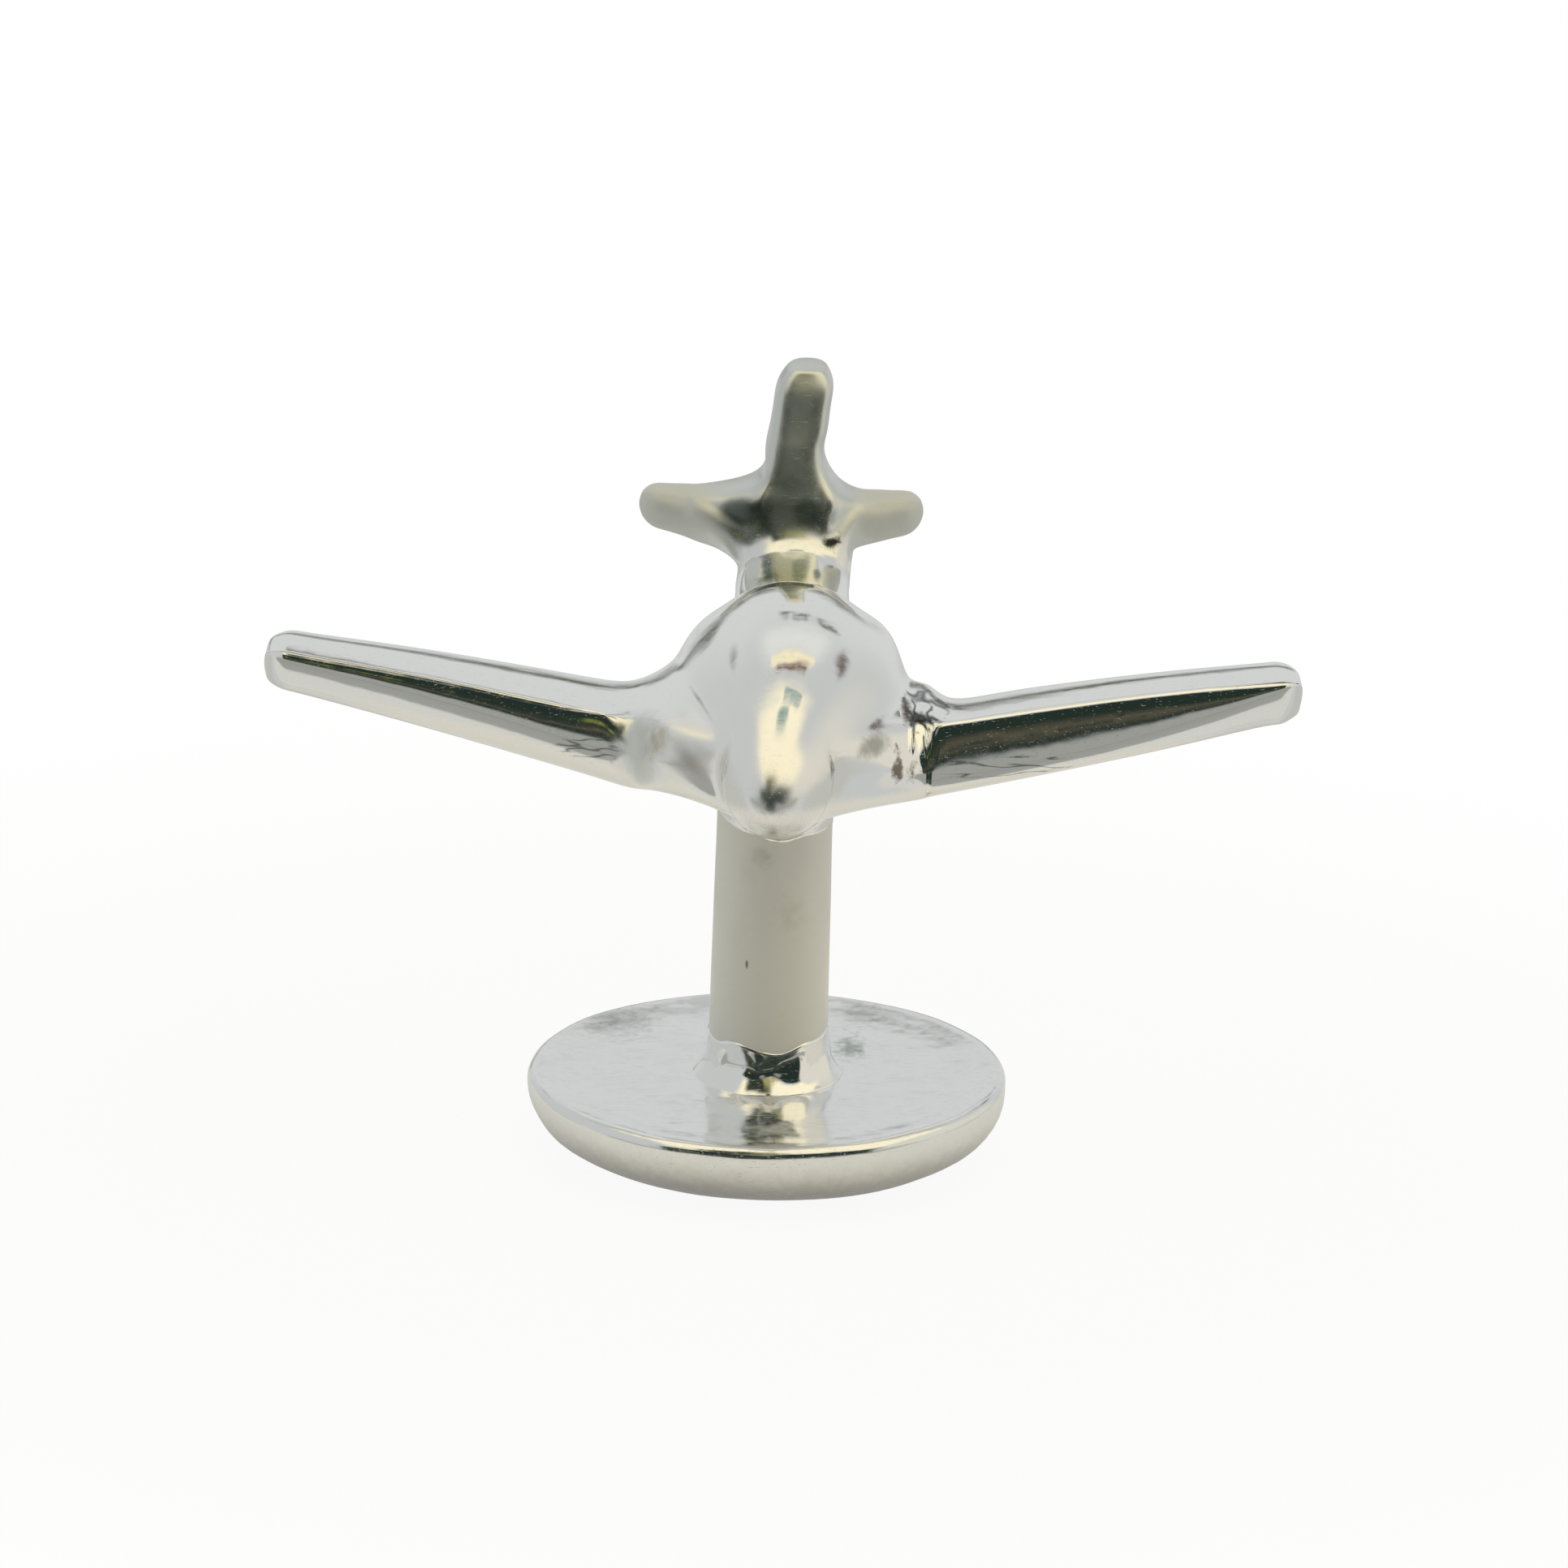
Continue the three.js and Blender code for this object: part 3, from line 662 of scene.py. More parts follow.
@dataclass
class Aeroplane:
    """The aeroplane: one smooth form, cut at the wing seams into the pieces that the frame holds."""

    fuselage: Fuselage = field(default_factory=Fuselage)
    tailplane: Tailplane = field(default_factory=Tailplane)
    fin: Fin = field(default_factory=Fin)
    levels: int = 3
    fit_rounds: int = 6
    wing_limit: float = 8.0
    tip_gap: float = 0.02

    def __post_init__(self) -> None:
        """Take the aeroplane's place and its wings' reach from the frame."""
        port_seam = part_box("port_wing_solder")[0].x / MM
        starboard_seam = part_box("starboard_wing_solder")[1].x / MM
        self.offset = (port_seam + starboard_seam) / 2
        self.seam = (port_seam - starboard_seam) / 2
        self.axis_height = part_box("fuselage_casting")[0].z / MM + self.fuselage.height / 2
        port_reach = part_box("port_wing")[1].x / MM - self.offset - self.tip_gap
        starboard_reach = self.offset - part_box("starboard_wing")[0].x / MM - self.tip_gap
        self.wings = (
            WingShape(
                Hand.PORT, port_reach, self.seam, root_thickness=1.96, root_top=0.36, dihedral=5.1, blend_radius=1.9,
                tip_thickness=1.4, top_camber=0.1, bow=0.1, nose_up=8.5, twist=4, face_radius_share=1.05,
                face_taper=0.8, face_taper_power=3.0,
                second_ring=3.45, third_ring=4.05, front_blend_share=0.1, root_lifts=(0.5, 0.45, 0.05),
                root_edge_rounds=(1.2, 0.5, 0.3),
            ),
            WingShape(
                Hand.STARBOARD, starboard_reach, self.seam, root_thickness=2.1, root_top=0.17, dihedral=5.8,
                blend_radius=3.3, front_fillet=2.1, second_ring=3.7,
                top_camber=0.13, bow=0.1, nose_up=4.0, front_rise_share=0.6, face_radius_share=0.8,
                face_taper=0.5, face_taper_power=0.8, root_lifts=(0.25, 0.05, 0),
            ),
        )

    def fuselage_cage(self) -> tuple[bmesh.types.BMesh, list[list[bmesh.types.BMVert]]]:
        """Grow the fuselage from a grid at its nose.

        Returns:
            The cage, and its vertices by ring and place round the ring.
        """
        cage = bmesh.new()
        half = RING_POINTS // 8
        bmesh.ops.create_grid(cage, x_segments=2 * half, y_segments=2 * half, size=half)
        grid = [[None] * (2 * half + 1) for _ in range(2 * half + 1)]
        for vertex in cage.verts:
            grid[round(vertex.co.x) + half][round(vertex.co.y) + half] = vertex
        patch = Patch(cage, grid)

        def ring_at(ring: int, y: float, bulge: float) -> Place:
            """A function that puts the patch's points on a disc across the fuselage, bulged at its middle."""

            def where(c: int, r: int) -> Vector:
                """Place of the patch's point on the disc."""
                reach, angle = disc_place(c, r, half)
                edge = self.fuselage.ring_point(ring, y, round(angle / RING_STEP))
                opposite = self.fuselage.ring_point(ring, y, round(angle / RING_STEP) + RING_POINTS // 2)
                point = ((edge + opposite) / 2).lerp(edge, reach)
                point.y += bulge * (1 - reach * reach)
                return point

            return where

        def rim() -> list[bmesh.types.BMVert]:
            """The patch's outer vertices, counted from +X towards the top."""
            found: list = [None] * RING_POINTS
            for c, column in enumerate(patch.grid):
                for r, vertex in enumerate(column):
                    reach, angle = disc_place(c, r, half)
                    if reach == 1:
                        found[round(angle / RING_STEP) % RING_POINTS] = vertex
            return found

        shape = self.fuselage
        patch.place(ring_at(0, shape.nose_ring, -shape.nose_reach - shape.nose_ring))
        rims = [rim()]
        for i, y in enumerate(shape.rings):
            patch.grow(ring_at(i + 1, y, 0.0))
            rims.append(rim())
        last = len(shape.rings) + 1
        patch.grow(ring_at(last, shape.end_ring, shape.end_cap - shape.end_ring))
        return cage, rims

    def cage(self) -> bmesh.types.BMesh:
        """Build the whole aeroplane's cage: fuselage, fin, tailplane and wings.

        Returns:
            The cage.
        """
        cage, rims = self.fuselage_cage()

        def patch_of(rings: tuple[int, int], places: Sequence[int]) -> Patch:
            """The patch of the fuselage between two rings, at some places round them."""
            columns = range(rings[0], rings[1] + 1)
            return Patch(cage, [[rims[s][k % RING_POINTS] for k in places] for s in columns])

        fin = patch_of(self.fuselage.tail_rings, FIN_PLACES)
        for height in self.fin.heights:
            fin.grow(self.fin.ring(height))
        for side, places in TAILPLANE_PLACES.items():
            half = patch_of(self.fuselage.tail_rings, places)
            for distance in self.tailplane.offsets:
                half.grow(self.tailplane.ring(side, distance))
        for wing in self.wings:
            patch = patch_of(self.fuselage.wing_rings, WING_PLACES[wing.hand])
            for distance in wing.offsets():
                patch.grow(wing.ring(distance))
        return cage

    def smooth_form(self) -> bmesh.types.BMesh:
        """Smooth the cage into one closed mesh, in place above the button.

        Returns:
            The whole aeroplane, in millimetres.
        """
        cage = self.cage()
        bmesh.ops.recalc_face_normals(cage, faces=cage.faces[:])
        fit_to_goal(cage, self.fit_rounds)
        bmesh.ops.translate(cage, verts=cage.verts[:], vec=(self.offset, 0, self.axis_height))
        rough = make_object("aeroplane_form", cage)
        rough.modifiers.new("smooth", "SUBSURF").levels = self.levels
        bpy.context.view_layer.update()
        evaluated = rough.evaluated_get(bpy.context.evaluated_depsgraph_get())
        form = bmesh.new()
        form.from_mesh(evaluated.to_mesh())
        evaluated.to_mesh_clear()
        bpy.data.objects.remove(rough)
        form.transform(Matrix.Scale(1 / MM, 4))
        return form

    def slice_between(self, form: bmesh.types.BMesh, low: float | None, high: float | None) -> bmesh.types.BMesh:
        """Cut a closed slice out of the form.

        Args:
            form: The whole aeroplane, which is left as it is.
            low: X of the slice's lower face, or None for no cut.
            high: X of its upper face, or None for no cut.

        Returns:
            The slice, closed by flat faces with sharp edges.
        """
        part = form.copy()
        for place, inner in ((low, True), (high, False)):
            if place is None:
                continue
            near = [v for v in part.verts if v.co.y < self.wing_limit]
            near_set = set(near)
            geom = near + [e for e in part.edges if near_set.issuperset(e.verts)]
            geom += [f for f in part.faces if near_set.issuperset(f.verts)]
            bmesh.ops.bisect_plane(
                part, geom=geom, dist=CUT_SLACK, plane_co=(place, 0, 0), plane_no=(1, 0, 0),
                clear_inner=inner, clear_outer=not inner,
            )
        if low is None or high is None or low * high > 0:
            bmesh.ops.delete(part, geom=[v for v in part.verts if v.co.y >= self.wing_limit], context="VERTS")
        made = bmesh.ops.holes_fill(part, edges=[e for e in part.edges if e.is_boundary], sides=0)
        for edge in {e for face in made["faces"] for e in face.edges}:
            edge.smooth = False
        bmesh.ops.recalc_face_normals(part, faces=part.faces[:])
        return part

    def build(self) -> list[bpy.types.Object]:
        """Build the five pieces of the aeroplane and dress them.

        Returns:
            The pieces, each riding on the frame.
        """
        form = self.smooth_form()
        form.faces.ensure_lookup_table()
        self.tree = BVHTree.FromBMesh(form)
        port = [corner.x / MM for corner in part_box("port_wing_solder")]
        starboard = [corner.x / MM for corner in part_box("starboard_wing_solder")]
        cuts = {
            "fuselage_casting": (starboard[1], port[0]),
            "port_wing_solder": (port[0], port[1]),
            "port_wing": (port[1], None),
            "starboard_wing_solder": (starboard[0], starboard[1]),
            "starboard_wing": (None, starboard[0]),
        }
        pieces = []
        for node, (low, high) in cuts.items():
            piece = make_object(f"{node}_form", self.slice_between(form, low, high))
            self.take_normals(piece, form)
            pieces.append(ride_and_replace(piece, node))
        form.free()
        return pieces

    def take_normals(self, piece: bpy.types.Object, form: bmesh.types.BMesh) -> None:
        """Give a slice the whole form's normals, so that reflections run on across the cuts.

        Args:
            piece: The slice.
            form: The whole form, in millimetres.
        """
        mesh = piece.data
        normals = []
        for polygon in mesh.polygons:
            # Only the flat faces of the cuts have many corners
            flat = len(polygon.vertices) > 5
            for corner in polygon.loop_indices:
                place = mesh.vertices[mesh.loops[corner].vertex_index].co / MM
                if flat:
                    normals.append(polygon.normal[:])
                    continue
                _, _, index, _ = self.tree.find_nearest(place)
                face = form.faces[index]
                weights = poly_3d_calc([v.co for v in face.verts], place)
                normal = sum((v.normal * w for v, w in zip(face.verts, weights)), Vector())
                normals.append(normal.normalized()[:])
        mesh.normals_split_custom_set(normals)

    def belly_at(self, x: float, y: float) -> float:
        """Height of the belly above a place on the button."""
        hit = self.tree.ray_cast(Vector((x, y, 0)), Vector((0, 0, 1)))[0]
        return hit.z


def ride_and_replace(piece: bpy.types.Object, node: str) -> bpy.types.Object:
    """Let a piece ride on the frame in place of its node.

    Args:
        piece: The finished piece.
        node: The frame's node that it stands for.

    Returns:
        The same piece.
    """
    slot = next(p["material_slot"] for p in frame["record"]["subparts"] if p["node"] == node)
    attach(piece, ROOT_BODY)
    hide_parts(node)
    piece["finish_slot"] = slot
    return piece


@dataclass
class FixedBack:
    """The turned back: a round button, a post and the solder at the post's two ends."""

    button_radius: float = 6.0
    thickness: float = 1.9
    rim_base: float = 1.45
    foot_radius: float = 3.6
    edge_round: float = 0.24
    rim_lift: float = 1.8
    rim_width: float = 1.1
    dish: float = 0.09
    post_foot_radius: float = 1.5
    post_top_radius: float = 1.425
    belly_height: float = 8.74
    collar_reach: float = 0.44
    collar_height: float = 1.1
    flare_reach: float = 0.4
    flare_drop: float = 0.55
    steps: int = 96
    underside_steps: int = 14
    edge_steps: int = 6
    foot_ring_shares: tuple[float, float] = (0.5, 0.95)
    top_ring_shares: tuple[float, ...] = (0.985, 0.96, 0.93, 0.9, 0.86, 0.75, 0.55, 0.35, 0.2)
    # How far handwork left the button and the post from a true turned shape
    out_of_round: float = 0.012
    top_unevenness: float = 0.018
    post_unevenness: float = 0.006
    # How far the post runs on, unseen, at its foot and its top
    post_sink: float = 0.06
    post_overrun: float = 0.6
    post_rows: int = 40
    # The solder: rows up its outline, how fast it thins, its thin edge, its hidden lap and its waves
    collar_rows: int = 14
    collar_power: float = 2.8
    collar_edge: float = 0.012
    collar_sink: float = 0.03
    collar_lap: float = 0.06
    collar_climb: float = 0.3
    collar_pucker: float = 0.1
    flare_rows: int = 12
    flare_power: float = 2.4
    flare_edge: float = 0.02
    flare_lap: float = 0.05
    flare_overrun: float = 0.1
    flare_climb: float = 0.25

    def spin(self, profile: Sequence[tuple[float, float]]) -> bmesh.types.BMesh:
        """Turn an outline about the post's axis.

        Args:
            profile: Radius and height of each point, from the lower end to the upper.

        Returns:
            The closed turned shape.
        """
        turned = bmesh.new()
        verts = [turned.verts.new((radius, 0, height)) for radius, height in profile]
        edges = [turned.edges.new(pair) for pair in zip(verts, verts[1:])]
        bmesh.ops.spin(
            turned, geom=verts + edges, cent=(0, 0, 0), axis=(0, 0, 1), angle=2 * math.pi,
            steps=self.steps, use_merge=True,
        )
        bmesh.ops.remove_doubles(turned, verts=turned.verts[:], dist=MERGE_DISTANCE)
        bmesh.ops.recalc_face_normals(turned, faces=turned.faces[:])
        return turned

    def arc(self, centre: tuple[float, float], radii: tuple[float, float], start: float, end: float,
            count: int) -> list[tuple[float, float]]:
        """Points on an elliptical arc of an outline.

        Args:
            centre: Radius and height of the arc's centre.
            radii: Its two half sizes, across and up.
            start: Angle of its start, in degrees from outwards.
            end: Angle of its end.
            count: How many steps it takes.

        Returns:
            The points, both ends included.
        """
        angles = [math.radians(mix(start, end, share)) for share in shares(count)]
        return [(centre[0] + radii[0] * math.cos(a), centre[1] + radii[1] * math.sin(a)) for a in angles]

    def lifted(self, x: float, z: float) -> float:
        """Lift a point as the button was soldered, a little out of square and higher to port.

        Args:
            x: The point's place across the button.
            z: Its height on the true button.

        Returns:
            Its height on the tilted one.
        """
        share = (x / self.button_radius + 1) ** 2 / 4
        lift = share * self.button_radius * math.tan(math.radians(self.rim_lift))
        return z + lift * clamp(z / self.thickness, 0, 1)

    def button(self) -> bpy.types.Object:
        """Build the button: a flat foot, a curved underside, a short rim and a flat, lightly dished top.

        Returns:
            The button.
        """
        under = self.arc(
            (self.foot_radius, self.rim_base), (self.button_radius - self.foot_radius, self.rim_base), -90, 0,
            self.underside_steps,
        )
        corner = self.button_radius - self.edge_round
        edge = self.arc(
            (corner, self.thickness - self.edge_round), (self.edge_round, self.edge_round), 0, 90, self.edge_steps
        )
        foot = [(self.foot_radius * share, 0) for share in self.foot_ring_shares]
        profile = [(0, 0)] + foot + under + edge
        for radius in (corner * share for share in self.top_ring_shares):
            profile.append((radius, self.thickness - self.dish * smooth_step(corner - radius, 0, self.rim_width)))
        profile.append((0, self.thickness - self.dish))
        shape = self.spin(profile)
        for vertex in shape.verts:
            reach = math.hypot(vertex.co.x, vertex.co.y)
            if vertex.co.z > 0.01:
                swell = 1 + self.out_of_round * wave(vertex.co, 0.5, (3, 8, 1))
                vertex.co.x *= swell
                vertex.co.y *= swell
                if vertex.co.z > self.thickness - 1.1 * self.dish and reach < corner:
                    vertex.co.z += self.top_unevenness * wave(vertex.co, 0.35)
            vertex.co.z = self.lifted(vertex.co.x, vertex.co.z)
        return make_object("button_turned", shape)

    def post(self) -> bpy.types.Object:
        """Build the post: a plain round rod that tapers a little, filed by hand.

        Returns:
            The post.
        """
        base, top = self.thickness - self.post_sink, self.belly_height + self.post_overrun
        profile = [(0, base)]
        for share in shares(self.post_rows):
            profile.append((mix(self.post_foot_radius, self.post_top_radius, share), mix(base, top, share)))
        profile.append((0, top))
        shape = self.spin(profile)
        for vertex in shape.verts:
            if math.hypot(vertex.co.x, vertex.co.y) > 1:
                swell = 1 + self.post_unevenness * wave(vertex.co, 0.7, (5, 0, 2))
                vertex.co.x *= swell
                vertex.co.y *= swell
        return make_object("post_turned", shape)

    def collar(self) -> bpy.types.Object:
        """Build the solder round the post's foot: a bright, wavy collar that climbs the post unevenly.

        Returns:
            The collar.
        """
        base = -self.dish - self.collar_sink
        inside = self.post_foot_radius - self.collar_lap
        profile = [(inside, self.thickness + base)]
        for share in shares(self.collar_rows):
            bulge = self.collar_reach * (1 - share) ** self.collar_power + self.collar_edge
            profile.append((self.post_foot_radius + bulge, self.thickness + mix(base, self.collar_height, share)))
        profile.append((inside, self.thickness + self.collar_height))
        profile.append(profile[0])
        shape = self.spin(profile)
        for vertex in shape.verts:
            angle = math.atan2(vertex.co.y, vertex.co.x)
            reach = math.hypot(vertex.co.x, vertex.co.y)
            height = vertex.co.z - self.thickness
            share = clamp((height - base) / (self.collar_height - base), 0, 1)
            around = Vector((math.cos(angle), math.sin(angle), 0))
            climb = 1 + self.collar_climb * wave(around, 1.6, (0, 0, 4)) * share
            pucker = wave(around, 3.2, (7, 1, height * 1.4))
            outside = reach > self.post_foot_radius
            grow = self.collar_pucker * pucker * math.sin(math.pi * share) ** 2 if outside else 0
            risen = self.thickness + height * (climb if height > 0 else 1)
            vertex.co = around * (reach + grow) + Vector((0, 0, risen))
            vertex.co.z += vertex.co.x * math.tan(math.radians(self.rim_lift)) * (1 - share)
        return make_object("foot_solder_collar", shape)

    def flare(self, form: "Aeroplane") -> bpy.types.Object:
        """Build the flare of solder where the post enters the belly, whose upper edge follows the belly.

        Args:
            form: The aeroplane, for its belly's height.

        Returns:
            The flare.
        """
        inside = self.post_top_radius - self.flare_lap
        profile = [(inside, 0.0)]
        for share in shares(self.flare_rows):
            bulge = self.flare_reach * share**self.flare_power + self.flare_edge
            profile.append((self.post_top_radius + bulge, share))
        profile.append((inside, 1.0))
        profile.append(profile[0])
        shape = self.spin(profile)
        outer = self.post_top_radius + self.flare_reach
        for vertex in shape.verts:
            around = Vector((vertex.co.x, vertex.co.y, 0)).normalized()
            top = form.belly_at(outer * around.x, outer * around.y) + self.flare_overrun
            low = form.belly_at(self.post_top_radius * around.x, self.post_top_radius * around.y)
            low -= self.flare_drop * (1 + self.flare_climb * wave(around, 1.8, (2, 6, 0)))
            vertex.co.z = mix(low, top, vertex.co.z)
        return make_object("belly_solder_flare", shape)

    def build(self, form: "Aeroplane") -> list[bpy.types.Object]:
        """Build the four pieces of the back.

        Args:
            form: The aeroplane that the back carries.

        Returns:
            The pieces, each riding on the frame.
        """
        return [
            ride_and_replace(self.button(), "button"),
            ride_and_replace(self.post(), "post"),
            ride_and_replace(self.collar(), "foot_solder_fillet"),
            ride_and_replace(self.flare(form), "belly_solder_fillet"),
        ]


class NodeBoard:
    """A material or world and the nodes that are wired into it.

    Args:
        tree: Its node tree, which is emptied.
    """

    def __init__(self, tree: bpy.types.NodeTree) -> None:
        self.tree = tree
        tree.nodes.clear()

    def add(self, kind: str, **settings: object) -> bpy.types.Node:
        """Add a node.

        Args:
            kind: Name of its type.
            **settings: Its properties, and its inputs where the name isn't a property.

        Returns:
            The node.
        """
        node = self.tree.nodes.new(kind)
        for name, value in settings.items():
            if hasattr(node, name):
                setattr(node, name, value)
            else:
                node.inputs[name.replace("_", " ").title()].default_value = value
        return node

    def wire(self, source: bpy.types.NodeSocket, target: bpy.types.NodeSocket) -> None:
        """Join an output to an input."""
        self.tree.links.new(source, target)

    def feed(self, value: Value, target: bpy.types.NodeSocket) -> None:
        """Give an input a plain value, or join an output to it.

        Args:
            value: The value or the output.
            target: The input.
        """
        if isinstance(value, bpy.types.NodeSocket):
            self.wire(value, target)
        else:
            target.default_value = value

    def coordinates(self, kind: Coordinates = Coordinates.OBJECT) -> bpy.types.NodeSocket:
        """Coordinates of one kind, in metres."""
        return self.add("ShaderNodeTexCoord").outputs[kind.value]

    def place(self, centre: Triple = (0, 0, 0), scale: Triple = (1, 1, 1),
              turn: Triple = (0, 0, 0)) -> bpy.types.NodeSocket:
        """Object coordinates in millimetres, moved, turned and stretched.

        Args:
            centre: Point that becomes the origin.
            scale: Stretch along each axis.
            turn: Turn about each axis, in degrees.

        Returns:
            The coordinates.
        """
        shift = self.add("ShaderNodeVectorMath", operation="MULTIPLY_ADD")
        self.wire(self.coordinates(), shift.inputs[0])
        shift.inputs[1].default_value = (1 / MM,) * 3
        shift.inputs[2].default_value = tuple(-c for c in centre)
        mapping = self.add("ShaderNodeMapping")
        mapping.inputs["Rotation"].default_value = tuple(math.radians(t) for t in turn)
        mapping.inputs["Scale"].default_value = scale
        self.wire(shift.outputs[0], mapping.inputs["Vector"])
        return mapping.outputs["Vector"]

    def reach(self, centre: Triple, size: Triple, turn: Triple) -> bpy.types.NodeSocket:
        """Distance from a point as a share of an ellipsoid's half sizes.

        Args:
            centre: The ellipsoid's middle, in millimetres.
            size: Its half sizes.
            turn: Its turn about each axis, in degrees.

        Returns:
            The distance: 0 in the middle and 1 at the ellipsoid's skin.
        """
        mapping = self.add("ShaderNodeMapping", vector_type="TEXTURE")
        mapping.inputs["Location"].default_value = tuple(c * MM for c in centre)
        mapping.inputs["Rotation"].default_value = tuple(math.radians(t) for t in turn)
        mapping.inputs["Scale"].default_value = tuple(s * MM for s in size)
        self.wire(self.coordinates(), mapping.inputs["Vector"])
        return self.length(mapping.outputs["Vector"])

    def length(self, vector: bpy.types.NodeSocket) -> bpy.types.NodeSocket:
        """Length of a vector."""
        node = self.add("ShaderNodeVectorMath", operation="LENGTH")
        self.wire(vector, node.inputs[0])
        return node.outputs["Value"]

    def noise(self, at: bpy.types.NodeSocket, scale: float, detail: float = 2,
              roughness: float = 0.5) -> bpy.types.NodeSocket:
        """A noise pattern.

        Args:
            at: The coordinates.
            scale: How fine the pattern is.
            detail: How many finer layers it has.
            roughness: How strong they are.

        Returns:
            Its value.
        """
        node = self.add("ShaderNodeTexNoise", scale=scale, detail=detail, roughness=roughness)
        self.wire(at, node.inputs["Vector"])
        return node.outputs["Fac"]

    def ramp(self, value: bpy.types.NodeSocket, low: float, high: float, to_low: float = 0,
             to_high: float = 1) -> bpy.types.NodeSocket:
        """A smooth, clamped change of a value's range.

        Args:
            value: The value.
            low: Where the change begins.
            high: Where it ends.
            to_low: Result below it.
            to_high: Result above it.

        Returns:
            The changed value.
        """
        node = self.add(
            "ShaderNodeMapRange", interpolation_type="SMOOTHSTEP", from_min=low, from_max=high, to_min=to_low,
            to_max=to_high,
        )
        self.wire(value, node.inputs["Value"])
        return node.outputs["Result"]

    def maths(self, operation: str, *values: Value) -> bpy.types.NodeSocket:
        """A sum of values or sockets.

        Args:
            operation: Name of the sum.
            *values: What goes into it.

        Returns:
            Its result.
        """
        node = self.add("ShaderNodeMath", operation=operation)
        for socket, value in zip(node.inputs, values):
            self.feed(value, socket)
        return node.outputs[0]

    def blend(self, share: Value, a: Value, b: Value) -> bpy.types.NodeSocket:
        """A mix of two colours.

        Args:
            share: Share of the second colour.
            a: The first colour.
            b: The second colour.

        Returns:
            The mix.
        """
        node = self.add("ShaderNodeMix", data_type="RGBA")
        for name, value in (("Factor_Float", share), ("A_Color", a), ("B_Color", b)):
            self.feed(value, next(s for s in node.inputs if s.identifier == name))
        return next(s for s in node.outputs if s.identifier == "Result_Color")

    def mix_shaders(self, share: Value, a: bpy.types.Node, b: bpy.types.Node) -> bpy.types.Node:
        """A mix of two shaders.

        Args:
            share: Share of the second shader.
            a: The first shader.
            b: The second shader.

        Returns:
            The node that mixes them.
        """
        node = self.add("ShaderNodeMixShader")
        for value, socket in zip((share, a.outputs[0], b.outputs[0]), node.inputs):
            self.feed(value, socket)
        return node


@dataclass(frozen=True)
class Mark:
    """A stain, a dent or a scuff, or a patch of painted shade or painted reflection, at one place on the cufflink,
    within a soft ellipsoid in millimetres.
    """

    centre: Triple
    size: Triple
    colour: Triple = (0.1, 0.08, 0.05)
    share: float = 0.0
    dent: float = 0.0
    rough: float = 0.0
    turn: Triple = (0, 0, 0)
    ragged: float = 0.5
    soft: float = 0.8
    line_scale: Triple | None = None
    line_width: float = 0.1


class Look(NamedTuple):
    """What a finish feeds into its shader: a colour, a roughness and a surface height in millimetres."""

    colour: bpy.types.NodeSocket
    rough: bpy.types.NodeSocket
    height: bpy.types.NodeSocket


